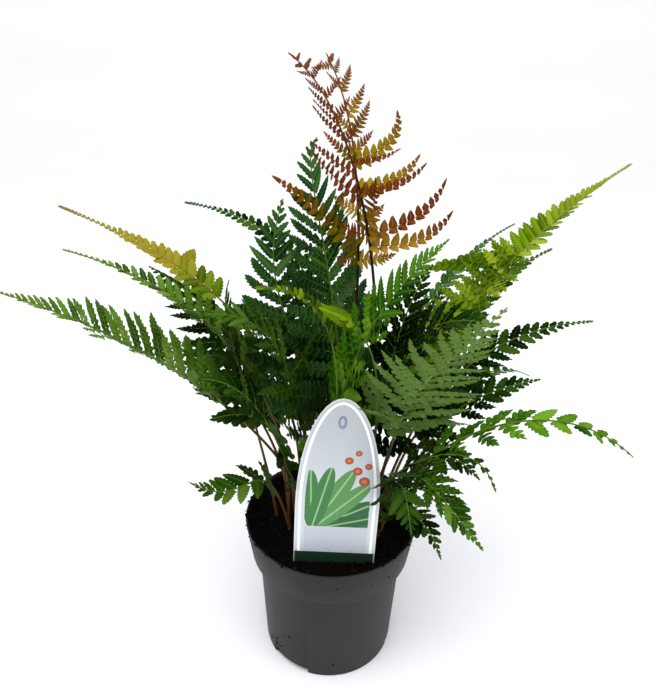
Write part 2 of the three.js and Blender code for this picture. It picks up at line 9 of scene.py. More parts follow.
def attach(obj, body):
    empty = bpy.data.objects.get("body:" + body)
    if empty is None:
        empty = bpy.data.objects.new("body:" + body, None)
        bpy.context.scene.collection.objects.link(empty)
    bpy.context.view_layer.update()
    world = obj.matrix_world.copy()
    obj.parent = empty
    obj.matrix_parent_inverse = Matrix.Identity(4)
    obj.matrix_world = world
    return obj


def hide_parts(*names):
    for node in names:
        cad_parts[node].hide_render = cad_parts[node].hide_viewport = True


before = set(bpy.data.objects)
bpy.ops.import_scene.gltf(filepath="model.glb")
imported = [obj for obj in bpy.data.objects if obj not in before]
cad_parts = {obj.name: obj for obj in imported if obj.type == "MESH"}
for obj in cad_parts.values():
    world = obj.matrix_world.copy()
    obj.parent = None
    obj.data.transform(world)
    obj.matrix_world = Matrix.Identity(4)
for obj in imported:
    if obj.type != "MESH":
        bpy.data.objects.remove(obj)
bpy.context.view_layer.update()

# ---------------------------------------------------------------------------------------------
# The pot: one injection-moulded shell of dark, warm-grey plastic. A deep collar stiffens the
# brim, the wall tapers to a thick foot, and three drainage channels are moulded under the foot,
# each with a hole up into the pot. The skin is satin, with faint flow marks and peat dust. Sizes
# here and below are in millimetres, and MM turns them into the metres of the scene.
MM = 0.001
POT_HEIGHT = 121.4
RIM_RADIUS = 65.0
COLLAR_FOOT = 90.9
COLLAR_FOOT_RADIUS = 61.0
STEP_RADIUS = 55.5
BASE_RADIUS = 51.2
WALL = 1.6
POT_FLOOR = 7.0
POT_SIDES = 144
POT_CREASE = 32.0
ROUND_STEPS = 3
CHANNEL_START = 24.0
CHANNEL_LENGTH = 40.0
CHANNEL_WIDTH = 33.0
CHANNEL_HEIGHT = 4.8
FIRST_CHANNEL_TURN = -126.0
DRAIN_AT = 38.0
DRAIN_RADIUS = 4.0
DRAIN_LENGTH = 40.0


class Value:
    """What a socket gives: a number, colour or place that varies over a surface. A sum of numbers
    adds its Math nodes to the material."""

    def __init__(self, finish, socket):
        self.finish = finish
        self.socket = socket

    def math(self, operation, *terms):
        return self.finish.add("Math", {"operation": operation}, dict(enumerate(terms)))

    def __add__(self, other):
        return self.math("ADD", self, other)

    __radd__ = __add__

    def __sub__(self, other):
        return self.math("SUBTRACT", self, other)

    def __rsub__(self, other):
        return self.math("SUBTRACT", other, self)

    def __mul__(self, other):
        return self.math("MULTIPLY", self, other)

    __rmul__ = __mul__

    def __truediv__(self, other):
        return self.math("DIVIDE", self, other)

    def __pow__(self, other):
        return self.math("POWER", self, other)

    def size(self):
        return self.math("ABSOLUTE", self)

    def sine(self):
        return self.math("SINE", self)

    def most(self, other):
        return self.math("MAXIMUM", self, other)

    def ease(self, start, end):
        """0 below start, 1 above end, and a smooth rise between. Start may be above end."""
        spans = {"Value": self, "From Min": start, "From Max": end}
        return self.finish.add("MapRange", {"interpolation_type": "SMOOTHSTEP"}, spans)


class Finish:
    """One material, built node by node."""

    def __init__(self, name):
        self.material = bpy.data.materials.new(name)
        self.material.use_nodes = True
        self.tree = self.material.node_tree
        self.tree.nodes.clear()

    def add(self, kind, settings, inputs, output=0):
        """A node of a kind, its settings made first, then its sockets' values and links."""
        node = self.tree.nodes.new("ShaderNode" + kind)
        for name, setting in settings.items():
            setattr(node, name, setting)
        for name, value in inputs.items():
            if isinstance(value, Value):
                self.tree.links.new(value.socket, node.inputs[name])
            else:
                node.inputs[name].default_value = value
        if isinstance(output, tuple):
            return [Value(self, node.outputs[name]) for name in output]
        return Value(self, node.outputs[output])

    def place(self):
        return self.add("TexCoord", {}, {}, "Object")

    def attribute(self, name, output="Vector"):
        return self.add("Attribute", {"attribute_name": name}, {}, output)

    def split(self, vector):
        return self.add("SeparateXYZ", {}, {0: vector}, ("X", "Y", "Z"))

    def noise(self, vector, scale, detail=3.0, rough=0.5):
        inputs = {"Vector": vector, "Scale": scale, "Detail": detail, "Roughness": rough}
        return self.add("TexNoise", {}, inputs)

    def stretch(self, vector, factors):
        return self.add("VectorMath", {"operation": "MULTIPLY"}, {0: vector, 1: factors})

    def dot(self, vector, direction):
        inputs = {0: vector, 1: direction}
        return self.add("VectorMath", {"operation": "DOT_PRODUCT"}, inputs, "Value")

    def blend(self, share, below, above):
        colours = {0: share, 6: tint(below), 7: tint(above)}
        return self.add("Mix", {"data_type": "RGBA"}, colours, 2)

    def bump(self, height, strength, distance):
        inputs = {"Height": height, "Strength": strength, "Distance": distance}
        return self.add("Bump", {}, inputs, "Normal")

    def surface(self, **inputs):
        named = {name.replace("_", " "): value for name, value in inputs.items()}
        return self.add("BsdfPrincipled", {}, named)

    def done(self, shader):
        node = self.tree.nodes.new("ShaderNodeOutputMaterial")
        self.tree.links.new(shader.socket, node.inputs["Surface"])
        return self.material


def tint(colour):
    """A colour as the sockets want it: a value as it is, or 0 to 255, as on a paint chart."""
    if isinstance(colour, Value):
        return colour
    shares = [v / 255 for v in colour]
    return (*[v / 12.92 if v <= 0.04045 else ((v + 0.055) / 1.055) ** 2.4 for v in shares], 1.0)


def mesh_piece(name, points, faces, finishes, crease=40):
    """A mesh object from points in metres, smooth except along folds sharper than the crease."""
    mesh = bpy.data.meshes.new(name)
    mesh.from_pydata(points, [], faces)
    for material in finishes:
        mesh.materials.append(material)
    mesh.shade_smooth()
    mesh.set_sharp_from_angle(angle=math.radians(crease))
    piece = bpy.data.objects.new(name, mesh)
    bpy.context.scene.collection.objects.link(piece)
    return piece


def belongs(piece, nodes):
    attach(piece, "root")
    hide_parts(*nodes)


def circle(radius, sides):
    """The x and y of points spaced evenly round a circle."""
    turns = [2 * math.pi * k / sides for k in range(sides)]
    return [(radius * math.cos(turn), radius * math.sin(turn)) for turn in turns]


def ring_faces(rings, sides):
    """Faces of a body of rings, with one point before the first ring and one after the last. They
    face outward where the rings go from the bottom up."""
    last = 1 + rings * sides
    faces = []
    for k in range(sides):
        after = (k + 1) % sides
        faces.append((0, 1 + after, 1 + k))
        for low in range(1, last - sides, sides):
            faces.append((low + k, low + after, low + sides + after, low + sides + k))
        faces.append((last - sides + k, last - sides + after, last))
    return faces


def turned(profile, sides):
    """Points and faces of radius and height pairs turned about Z, shut at both ends."""
    points = [(0, 0, profile[0][1])]
    for radius, height in profile[1:-1]:
        points += [(x, y, height) for x, y in circle(radius, sides)]
    points.append((0, 0, profile[-1][1]))
    return points, ring_faces(len(profile) - 2, sides)


def rounded(corner, before, after, radius):
    """The points of a small round that replaces one corner of a profile."""
    corner = np.array(corner, float)
    start = np.array(before, float) - corner
    end = np.array(after, float) - corner
    start = corner + start / np.linalg.norm(start) * radius
    end = corner + end / np.linalg.norm(end) * radius
    shares = np.linspace(0, 1, ROUND_STEPS + 1)[:, None]
    bent = (1 - shares) ** 2 * start + 2 * shares * (1 - shares) * corner + shares ** 2 * end
    return [tuple(point) for point in bent]


def wall_radius(height):
    """The pot's outside radius at a height, or at each of an array of heights."""
    foot = BASE_RADIUS + (STEP_RADIUS - BASE_RADIUS) * height / COLLAR_FOOT
    share = (height - COLLAR_FOOT) / (POT_HEIGHT - COLLAR_FOOT)
    collar = COLLAR_FOOT_RADIUS + (RIM_RADIUS - COLLAR_FOOT_RADIUS) * share
    return np.where(height > COLLAR_FOOT, collar, foot)


def pot_profile():
    """Each corner with the radius of its round, from the middle of the foot out, up and back."""
    corners = [
        ((0, 0), 0),
        ((BASE_RADIUS, 0), 1.6),
        ((STEP_RADIUS, COLLAR_FOOT), 0.5),
        ((COLLAR_FOOT_RADIUS, COLLAR_FOOT + 0.5), 0.5),
        ((RIM_RADIUS, POT_HEIGHT), 0.7),
        ((RIM_RADIUS - WALL, POT_HEIGHT), 0.7),
        ((COLLAR_FOOT_RADIUS - WALL + 0.3, COLLAR_FOOT + 3), 0.8),
        ((STEP_RADIUS - WALL, COLLAR_FOOT + 1.5), 0.8),
        ((wall_radius(POT_FLOOR) - WALL, POT_FLOOR), 1.5),
        ((0, POT_FLOOR), 0),
    ]
    profile = []
    for k, (corner, radius) in enumerate(corners):
        if radius:
            profile += rounded(corner, corners[k - 1][0], corners[k + 1][0], radius)
        else:
            profile.append(corner)
    return [(r * MM, z * MM) for r, z in profile]


def cut_with(piece, tools):
    """Cuts the tool objects out of the piece and clears them away."""
    for tool in tools:
        step = piece.modifiers.new("cut", "BOOLEAN")
        step.operation = "DIFFERENCE"
        step.solver = "EXACT"
        step.object = tool
    bpy.context.view_layer.update()
    shaped = bpy.data.meshes.new_from_object(
        piece.evaluated_get(bpy.context.evaluated_depsgraph_get()))
    piece.modifiers.clear()
    piece.data = shaped
    for tool in tools:
        bpy.data.objects.remove(tool)


def pot_tools():
    """Three boxes that cut the channels under the foot, and three rods that cut their holes."""
    middle = CHANNEL_START + CHANNEL_LENGTH / 2
    spot = Matrix.Translation((middle * MM, 0, 0))
    size = [CHANNEL_LENGTH * MM, CHANNEL_WIDTH * MM, 2 * CHANNEL_HEIGHT * MM, 1]
    hole = Matrix.Translation((DRAIN_AT * MM, 0, 0))
    tools = []
    for k in range(3):
        turn = Matrix.Rotation(math.radians(FIRST_CHANNEL_TURN + 120 * k), 4, "Z")
        for shape in ("channel", "drain"):
            form = bmesh.new()
            if shape == "channel":
                matrix = turn @ spot @ Matrix.Diagonal(size)
                bmesh.ops.create_cube(form, size=1, matrix=matrix)
            else:
                radius = DRAIN_RADIUS * MM
                bmesh.ops.create_cone(form, cap_ends=True, segments=24, radius1=radius, radius2=radius,
                                      depth=DRAIN_LENGTH * MM, matrix=turn @ hole)
            mesh = bpy.data.meshes.new(shape)
            form.to_mesh(mesh)
            form.free()
            tool = bpy.data.objects.new(shape, mesh)
            bpy.context.scene.collection.objects.link(tool)
            tools.append(tool)
    return tools


def pot_finish():
    finish = Finish("moulded_pot")
    place = finish.place()
    _, _, z = finish.split(place)
    flow = finish.noise(finish.stretch(place, (30, 30, 7)), 1.0, 4)
    grain = finish.noise(place, 1500, 2)
    speck = finish.noise(place, 420, 1).ease(0.70, 0.76)
    near_brim = z.ease(98 * MM, 121 * MM)
    smear = finish.noise(finish.stretch(place, (90, 90, 45)), 1.0, 5, 0.65)
    smear = smear.ease(0.56, 0.78) * near_brim
    foot_dust = z.ease(16 * MM, 0) * finish.noise(place, 160, 4).ease(0.45, 0.7)
    colour = finish.blend(flow.ease(0.3, 0.7), (39, 38, 36), (48, 47, 45))
    colour = finish.blend(grain.ease(0.35, 0.75) * 0.35, colour, (61, 60, 57))
    colour = finish.blend(smear * 0.7, colour, (38, 27, 20))
    colour = finish.blend(foot_dust * 0.35, colour, (56, 46, 38))
    colour = finish.blend(speck * 0.6, colour, (40, 36, 32))
    rough = 0.44 + 0.1 * flow + 0.2 * smear
    relief = finish.bump(grain + 0.4 * flow, 0.35, 0.00008)
    return finish.done(finish.surface(Base_Color=colour, Roughness=rough, Normal=relief,
                                      Specular_IOR_Level=0.22))


pot = mesh_piece("nursery_pot", *turned(pot_profile(), POT_SIDES), [])
cut_with(pot, pot_tools())
pot.data.materials.append(pot_finish())
pot.data.shade_smooth()
pot.data.set_sharp_from_angle(angle=math.radians(POT_CREASE))
belongs(pot, ["pot"])

# ---------------------------------------------------------------------------------------------
# The peat: near-black, damp and crumbly, with reddish-brown fibres. It is heaped at the crown and
# lies against the wall to the brim on both sides. Loose crumbs rest on it, on the brim and, a few
# of them, on the outside of the collar and foot.
PEAT_TOP = 115.8
PEAT_RADIUS = 62.6
PEAT_RINGS = 44
PEAT_SPOKES = 150
HEAP_HEIGHT = 2.8
HEAP_SPREAD = 34.0
BANK_HEIGHT = 3.8
BANK_START = 50.0
BANK_WIDTH = 12.0
# Radius and height down the side of the peat: at both edges of the collar's step, and at the foot.
PEAT_SIDE = [(58.8, 94.8), (53.0, 93.3), (49.2, 8.0)]
CRUMBS = 2600
CRUMB_REACH = 62.5
BRIM_CRUMBS = 170
FIBRES = 330
FIBRE_RINGS = 6
FIBRE_SIDES = 3


def peat_height(x, y):
    """Height of the peat in millimetres: the heap, shallow lumps, and the banks by the brim."""
    heap = HEAP_HEIGHT * np.exp(-(x * x + y * y) / HEAP_SPREAD ** 2)
    lumps = np.sin(0.19 * x + 1.1) * np.cos(0.23 * y - 0.4) + np.sin(0.11 * (x + y) + 2)
    fine = np.sin(0.71 * x + 2 * np.sin(0.53 * y)) * np.sin(0.67 * y + 2 * np.sin(0.49 * x + 1))
    grit = np.sin(1.9 * x + 3 * np.sin(1.3 * y)) * np.sin(2.1 * y + 3 * np.sin(1.7 * x))
    radius = np.hypot(x, y)
    sides = 0.5 - 0.5 * np.cos(2 * np.arctan2(y, x) + math.pi)
    climb = np.clip((radius - BANK_START) / BANK_WIDTH, 0, 1) ** 1.5
    bank = BANK_HEIGHT * climb * (0.25 + 0.75 * sides)
    return PEAT_TOP + heap + 0.35 * lumps + 0.5 * fine + 0.35 * grit + bank


def peat_bed():
    """Rings from the middle of the top out to the wall, down the side and in along the bottom."""
    points = [(0.0, 0.0, float(peat_height(0.0, 0.0)))]
    for ring in range(1, PEAT_RINGS + 1):
        for x, y in circle(PEAT_RADIUS * ring / PEAT_RINGS, PEAT_SPOKES):
            points.append((x, y, float(peat_height(x, y))))
    for radius, height in PEAT_SIDE:
        points += [(x, y, height) for x, y in circle(radius, PEAT_SPOKES)]
    points.append((0.0, 0.0, PEAT_SIDE[-1][1]))
    faces = ring_faces(PEAT_RINGS + len(PEAT_SIDE), PEAT_SPOKES)
    return np.array(points), [(face[0], *face[:0:-1]) for face in faces]


def around(angle, radius, height):
    return np.stack([radius * np.cos(angle), radius * np.sin(angle), height], 1)


def crumb_places(rng):
    """Centres in millimetres and sizes of the loose crumbs on the peat and on the brim's sides."""
    angle = rng.uniform(0, 2 * math.pi, CRUMBS)
    radius = CRUMB_REACH * np.sqrt(rng.uniform(0, 1, CRUMBS))
    size = rng.gamma(2.2, 0.27, CRUMBS).clip(0.25, 1.8)
    height = peat_height(radius * np.cos(angle), radius * np.sin(angle)) + 0.15 * size
    loose = around(angle, radius, height)
    groups = np.array([0.05, math.pi - 0.05, math.pi + 0.35, -0.35])
    angle = rng.choice(groups, BRIM_CRUMBS) + rng.normal(0, 0.42, BRIM_CRUMBS)
    radius = rng.normal(63.6, 1.1, BRIM_CRUMBS).clip(61, 66)
    height = POT_HEIGHT + rng.uniform(-0.2, 1.3, BRIM_CRUMBS)
    brim_size = rng.uniform(0.35, 1.25, BRIM_CRUMBS)
    centres = np.concatenate([loose, around(angle, radius, height)])
    return centres, np.concatenate([size, brim_size])


def stuck_crumbs(rng):
    """Crumbs held by damp on the outside of the wall: most below the brim at the sides, some low.
    Each group has its middle angle and spread, its height and spread, and how many there are."""
    groups = [(math.pi + 0.25, 0.3, 117, 3.5, 34), (-0.12, 0.25, 116, 4, 34), (-0.6, 0.5, 104, 10, 8),
              (math.pi + 0.62, 0.10, 12, 4.5, 26), (-1.6, 0.9, 75, 28, 9)]
    centres, sizes = [], []
    for turn, spread, height, rise, count in groups:
        angle = rng.normal(turn, spread, count)
        z = rng.normal(height, rise, count).clip(3, POT_HEIGHT)
        centres.append(around(angle, wall_radius(z), z))
        sizes.append(rng.uniform(0.25, 0.85, count))
    return np.concatenate(centres), np.concatenate(sizes)


def crumb_cloud(centres, sizes, rng):
    """A small uneven lump for each centre: a distorted twenty-sided stone."""
    form = bmesh.new()
    bmesh.ops.create_icosphere(form, subdivisions=1, radius=1.0)
    stone = np.array([v.co for v in form.verts])
    sides = np.array([[v.index for v in f.verts] for f in form.faces])
    form.free()
    count = len(centres)
    stretch = rng.uniform(0.6, 1.35, (count, 1, 3))
    dents = rng.uniform(0.7, 1.2, (count, len(stone), 1))
    points = centres[:, None] + stone * stretch * dents * sizes[:, None, None]
    faces = sides[None] + len(stone) * np.arange(count)[:, None, None]
    shade = np.repeat(rng.uniform(0, 1, count) ** 2, len(stone))
    return points.reshape(-1, 3), faces.reshape(-1, 3), shade


def fibre_cloud(rng):
    """Short bent root hairs and moss fibres: thin three-sided strands."""
    points, faces, shade = [], [], []
    for k in range(FIBRES):
        by_brim = k % 3 == 0
        side = rng.choice([0.0, math.pi])
        angle = rng.normal(side, 0.5) if by_brim else rng.uniform(0, 2 * math.pi)
        radius = rng.uniform(60, 65.5) if by_brim else 61 * math.sqrt(rng.uniform())
        at = np.array([radius * math.cos(angle), radius * math.sin(angle), 0.0])
        at[2] = max(peat_height(at[0], at[1]), POT_HEIGHT if radius > 62 else 0) + 0.2
        heading = rng.uniform(0, 2 * math.pi)
        climb = rng.uniform(-0.25, 0.7)
        step = rng.uniform(0.5, 1.5)
        start = len(points)
        for ring in range(FIBRE_RINGS):
            thick = 0.16 * (1 - ring / (FIBRE_RINGS + 1))
            for x, y in circle(1.0, FIBRE_SIDES):
                points.append(at + thick * np.array([x, y, 2 * x * y]))
            heading += rng.normal(0, 0.45)
            climb += rng.normal(-0.12, 0.3)
            at = at + step * np.array([math.cos(heading) * math.cos(climb),
                                       math.sin(heading) * math.cos(climb), math.sin(climb)])
        end = start + FIBRE_SIDES * (FIBRE_RINGS - 1)
        for ring in range(start, end, FIBRE_SIDES):
            for corner in range(FIBRE_SIDES):
                a = ring + corner
                b = ring + (corner + 1) % FIBRE_SIDES
                faces.append((a, b, b + FIBRE_SIDES, a + FIBRE_SIDES))
        faces.append((start, start + 2, start + 1))
        faces.append((end, end + 1, end + 2))
        shade += [rng.uniform(0.55, 1.0)] * (FIBRE_SIDES * FIBRE_RINGS)
    return np.array(points), faces, np.array(shade)


def peat_finish():
    finish = Finish("damp_peat")
    place = finish.place()
    shade = finish.attribute("shade", "Fac")
    clods = finish.noise(place, 260, 4, 0.6)
    grit = finish.noise(place, 900, 3, 0.6)
    colour = finish.blend(clods.ease(0.35, 0.7), (3, 2, 1), (10, 7, 5))
    colour = finish.blend(shade.ease(0.3, 1.0), colour, (34, 21, 13))
    colour = finish.blend(grit.ease(0.62, 0.78) * 0.3, colour, (40, 27, 18))
    relief = finish.bump(clods + 0.5 * grit, 0.9, 0.0012)
    return finish.done(finish.surface(Base_Color=colour, Roughness=0.95 - 0.25 * grit, Normal=relief,
                                      Specular_IOR_Level=0.08))


rng = np.random.default_rng(11)
bed, bed_faces = peat_bed()
loose = crumb_cloud(*crumb_places(rng), rng)
stuck = crumb_cloud(*stuck_crumbs(rng), rng)
points, faces, shade = [bed], list(bed_faces), [np.zeros(len(bed))]
for cloud, sides, tone in (loose, stuck, fibre_cloud(rng)):
    offset = sum(len(p) for p in points)
    faces += [tuple(int(v) + offset for v in side) for side in sides]
    points.append(cloud)
    shade.append(tone)
peat = mesh_piece("peat", np.concatenate(points) * MM, faces, [peat_finish()], 60)
peat.data.attributes.new("shade", "FLOAT", "POINT").data.foreach_set("value", np.concatenate(shade))
belongs(peat, ["soil"])

# ---------------------------------------------------------------------------------------------
# The plant label: one stiff card of white plastic with an arched top, printed silver-grey with a
# white line inside its edge, and pushed into the peat. A small moulded stud near its top is for
# hanging. The print is a plain fan of leaves with berries over a pale band and a dark green foot.
LABEL_HALF = 28.5
LABEL_SHOULDER = 66.0
LABEL_ARCH = 84.0
LABEL_FOOT = (1.5, -46.0, 99.0)
LABEL_LEAN = math.radians(1.6)
LABEL_TILT = math.radians(2.5)
BAND_TOP = 49.0
FOOT_TOP = 26.5
STUD_AT = 133.0
# The fan grows from one point. Each printed leaf: turn from level in degrees, length, half width.
FAN_AT = (-17.0, 46.0)
FAN = [(3, 60, 6.6), (30, 50, 6.4), (62, 58, 6.8), (92, 50, 5.6), (16, 56, 6.0), (46, 56, 6.4),
       (77, 54, 6.0)]
# Each berry: how far across and along the card, and its radius.
BERRIES = [(12, 96, 3.2), (17, 88, 3.6), (6, 104, 2.8), (19, 100, 2.4), (12, 110, 2.2)]


def label_axes():
    """The card's own directions: across it, through it and up along it."""
    lean, tilt = LABEL_LEAN, LABEL_TILT
    return [
        (math.cos(lean), 0.0, -math.sin(lean)),
        (-math.sin(lean) * math.sin(tilt), math.cos(tilt), -math.cos(lean) * math.sin(tilt)),
        (math.sin(lean) * math.cos(tilt), math.sin(tilt), math.cos(lean) * math.cos(tilt)),
    ]


def oval(across, along, half_width, half_length):
    """1 on the edge of an oval round the origin, and less inside it."""
    return ((across / half_width) ** 2 + (along / half_length) ** 2) ** 0.5


def label_finish():
    finish = Finish("printed_card")
    place = finish.place()
    across, depth, along = [
        finish.dot(place, axis) / MM - sum(a * b for a, b in zip(axis, LABEL_FOOT))
        for axis in label_axes()
    ]
    front = depth.ease(-0.25, -0.35)

    # Distance from the card's edge, good near the edge all the way round the arch.
    above = (along - LABEL_SHOULDER).most(0.0)
    arch = oval(across, above, LABEL_HALF, LABEL_ARCH)
    slope = oval(across, above, LABEL_HALF ** 2, LABEL_ARCH ** 2)
    inside = (1 - arch) * arch / slope.most(0.0001)
    line = inside.ease(2.3, 2.5) * inside.ease(4.3, 4.1)
    inner = inside.ease(6.4, 6.8)

    # Painted sheen: the silver-grey field is lighter low on the card and darker up its arch.
    colour = finish.blend(along.ease(60, 150), (196, 203, 207), (176, 181, 186))
    greens = [(60, 122, 66), (38, 96, 58), (88, 142, 82)]
    x, y = across - FAN_AT[0], along - FAN_AT[1]
    for k, (turn, reach, wide) in enumerate(FAN):
        east, north = math.cos(math.radians(turn)), math.sin(math.radians(turn))
        out = (x * east + y * north) / reach
        off = ((y * east - x * north) / wide).size()
        body = 1 - ((out * 2 - 1).size() ** 2.2 + off ** 2)
        shape = body.ease(0.0, 0.06) * inner * along.ease(BAND_TOP, BAND_TOP + 0.4)
        leaf = finish.blend(off.ease(0.02, 0.16), (150, 186, 130), greens[k % 3])
        colour = finish.blend(shape, colour, leaf)
    for east, north, radius in BERRIES:
        far = oval(across - east, along - north, 1, 1)
        berry = finish.blend(far.ease(0, radius), (206, 120, 78), (150, 66, 38))
        colour = finish.blend(far.ease(radius + 0.1, radius - 0.1), colour, berry)

    band = along.ease(BAND_TOP + 0.2, BAND_TOP - 0.2)
    colour = finish.blend(band * inner, colour, (186, 192, 200))
    colour = finish.blend(line, colour, (248, 250, 250))
    colour = finish.blend(along.ease(FOOT_TOP + 0.2, FOOT_TOP - 0.2), colour, (30, 58, 40))
    colour = finish.blend(inside.ease(1.2, 0.3) * 0.6, colour, (222, 226, 228))
    stud = oval(across, along - STUD_AT, 2.6, 4.6)
    hollow = oval(across, along - STUD_AT - 0.3, 1.3, 2.8)
    knob = finish.blend(hollow.ease(1.1, 0.8), (128, 142, 158), (172, 184, 196))
    colour = finish.blend(stud.ease(1.08, 0.98), colour, knob)
    colour = finish.blend(front, (226, 229, 230), colour)
    splash = finish.noise(place, 190, 4, 0.6).ease(0.56, 0.66) * along.ease(32, 19)
    colour = finish.blend(splash * 0.8, colour, (44, 32, 26))
    relief = finish.bump(finish.noise(place, 60, 2), 0.12, 0.0006)
    rough = 0.3 + 0.2 * splash
    return finish.done(finish.surface(Base_Color=colour, Roughness=rough, Normal=relief))


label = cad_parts["label"]
label.data.materials.clear()
label.data.materials.append(label_finish())

# ---------------------------------------------------------------------------------------------
# The fronds: each grows from the crown as one midrib with side leaves in pairs, and each side leaf
# carries rows of leaflets with toothed edges, which run together towards its tip. Mature fronds
# are dark to bright green and paler beneath; young ones are gold and rust on near-black stalks.
CROWN_HEIGHT = 119.0
STALK_BOTTOM = 101.4
STALK_HALF = 1.3
TIP_HALF = 0.34
CURVE_POINTS = 401
MIDRIB_POINTS = 97
RIB_STEPS = 8
RIB_THICK = 0.8
LEAF_THICK = 0.7
CARD_THICK = 1.0
LEAF_GAP = 0.6
POT_GAP = 2.0
FLOOR_GAP = 4.0
# What a side leaf tries in turn to find room: shares of its length, and degrees up or down.
LENGTHS_TRIED = (1, 0.85, 0.7, 0.5, 0.35)
LIFTS_TRIED = (0, 7, -7, 14, -14, 22, -22, 32, -32, 44, -44)

# How a frond grows. Sweep is how far its side leaves lean towards its tip, at the blade's foot and
# at its tip, and hook how much further each one bends that way. Lift and curl raise and droop it,
# and tilt turns it about its own rib, as shingles lie. Crowd is how many side leaves stand for one
# pair of the table below, close how much nearer they stand towards the tip, taper how soon they get
# shorter, and short scales them all. Fill is a side leaf's half width as a share of the space to
# the next, and point its outline. One no longer than single, in millimetres, is a single toothed
# leaflet. Others carry rows of them, which lean and rise off the rib, with plump as their half
# width as a share of the space to the next. Angles are in degrees.
YOUNG = dict(point=(1.0, 0.8), plump=0.5, shape="pointed", single=6)
LEAFY = dict(hook=14, lift=10, curl=-20, tilt=-9.0, lean=(14, 40), rise=8, fill=0.6, taper=1.0, short=1.0,
             point=(1.8, 0.9), plump=0.62, shape="lobed", single=20, crowd=1.15, close=1.85)
HABITS = {
    "bronze": YOUNG | dict(tilt=-56, lean=(14, 40), rise=26),
    "gold": YOUNG | dict(tilt=-20, lean=(16, 40), rise=14),
    "blue": LEAFY | dict(sweep=(16, 58), lift=6, curl=-14, lean=(16, 40), point=(2.0, 0.9), plump=0.6),
    "dark": LEAFY | dict(sweep=(18, 58), point=(1.7, 0.9), single=18),
    "lime": LEAFY | dict(sweep=(-45, 58), lift=24, curl=-8, lean=(14, 38)),
    "yellow": LEAFY | dict(sweep=(24, 58), lift=20, curl=-8, fill=1.0, taper=1.8, crowd=2.4, single=23,
                           short=0.9),
    "green": LEAFY | dict(sweep=(20, 58), lift=14),
    "light": LEAFY | dict(sweep=(22, 58), curl=-6, fill=0.62, crowd=2.1, single=16, plump=0.7,
                          point=(3.0, 0.7)),
    "pale": LEAFY | dict(sweep=(37, 48), hook=10, lift=6, curl=-10, lean=(12, 36), rise=-6, fill=0.7,
                         taper=1.2, point=(2.2, 0.85), plump=0.52, single=8, crowd=1.12, close=1.3),
    "bright": LEAFY | dict(sweep=(26, 58), lift=2, curl=-24, lean=(20, 44), rise=4, fill=0.5, taper=1.1,
                           crowd=1.0, point=(1.9, 0.9)),
}

# The young fronds' side leaves one by one, from their foot up: share of the midrib, side, length,
# half width, sweep, hook, and how far they have turned from gold to rust.
YOUNG_LEAVES = {
    "bronze_front": [
        (0.635, 1, 58, 7.5, -10, 75, 0.1), (0.655, 1, 60, 7.0, 5, 62, 0.6), (0.66, 1, 36, 8.5, 72, 16, 0.3),
        (0.655, -1, 22, 6.0, 30, 20, 0.6), (0.72, -1, 48, 6.5, 55, 12, 0.8), (0.735, 1, 44, 5.0, -8, 50, 0.7),
        (0.77, -1, 33, 4.5, 50, 10, 0.9), (0.79, 1, 29, 3.0, -12, 30, 0.9), (0.81, 1, 18, 5.0, 10, 40, 0.3),
        (0.83, 1, 14, 4.2, 24, 30, 0.8), (0.835, -1, 25, 2.6, 62, 14, 0.9), (0.86, -1, 20, 1.8, 64, 10, 1.0),
        (0.87, 1, 14, 4.4, 24, 30, 0.9), (0.885, -1, 18, 2.6, 66, 12, 1.0), (0.91, 1, 13, 4.0, 10, 30, 0.9),
        (0.92, -1, 11, 2.2, 66, 10, 1.0), (0.945, 1, 10, 3.2, 18, 20, 0.9), (0.952, -1, 7, 1.8, 50, 10, 1.0),
        (0.965, 1, 6, 1.8, 20, 20, 1.0), (0.972, -1, 4, 1.2, 40, 10, 1.0), (0.983, 1, 4, 1.2, 20, 20, 1.0),
    ],
    "bronze_back": [
        (0.6, 1, 27, 6.5, -6, 30, 0.1), (0.62, -1, 77, 8.5, 47, -12, 0.1), (0.605, -1, 15, 6.0, -8, 20, 0.3),
        (0.68, 1, 20, 6.0, 20, 40, 0.3), (0.70, -1, 20, 6.0, 30, 20, 0.2), (0.745, 1, 47, 6.0, 5, 52, 0.1),
        (0.80, 1, 45, 6.5, 8, 100, 0.1), (0.80, -1, 26, 4.5, 46, 10, 0.4), (0.85, 1, 22, 5.0, 44, 24, 0.3),
        (0.86, -1, 16, 3.5, 50, 10, 0.4), (0.885, 1, 20, 4.6, 42, 20, 0.4), (0.93, 1, 15, 3.8, 44, 20, 0.6),
        (0.94, -1, 11, 1.8, 58, 10, 0.6), (0.965, 1, 8, 2.4, 44, 20, 0.8), (0.98, -1, 12, 3.0, 10, 20, 0.4),
        (0.985, 1, 5, 1.4, 40, 20, 0.9),
    ],
}

# Side leaves that stand apart from their frond's two rows: share of the midrib, side, length, half
# width, sweep, lift and tilt.
STRAY_LEAVES = {
    "right_bright": [(0.72, -1, 76, 9.5, -45, 10, -10)],
    "left_gold": [(0.70, 1, 22, 7.0, 5, 10, 0), (0.75, 1, 18, 5.5, 45, -20, -20)],
    "left_bright": [(0.62, 1, 60, 9.0, -30, 5, 20)],
    "centre_tip": [(0.9, -1, 27, 6.4, 70, -5, 40)],
}

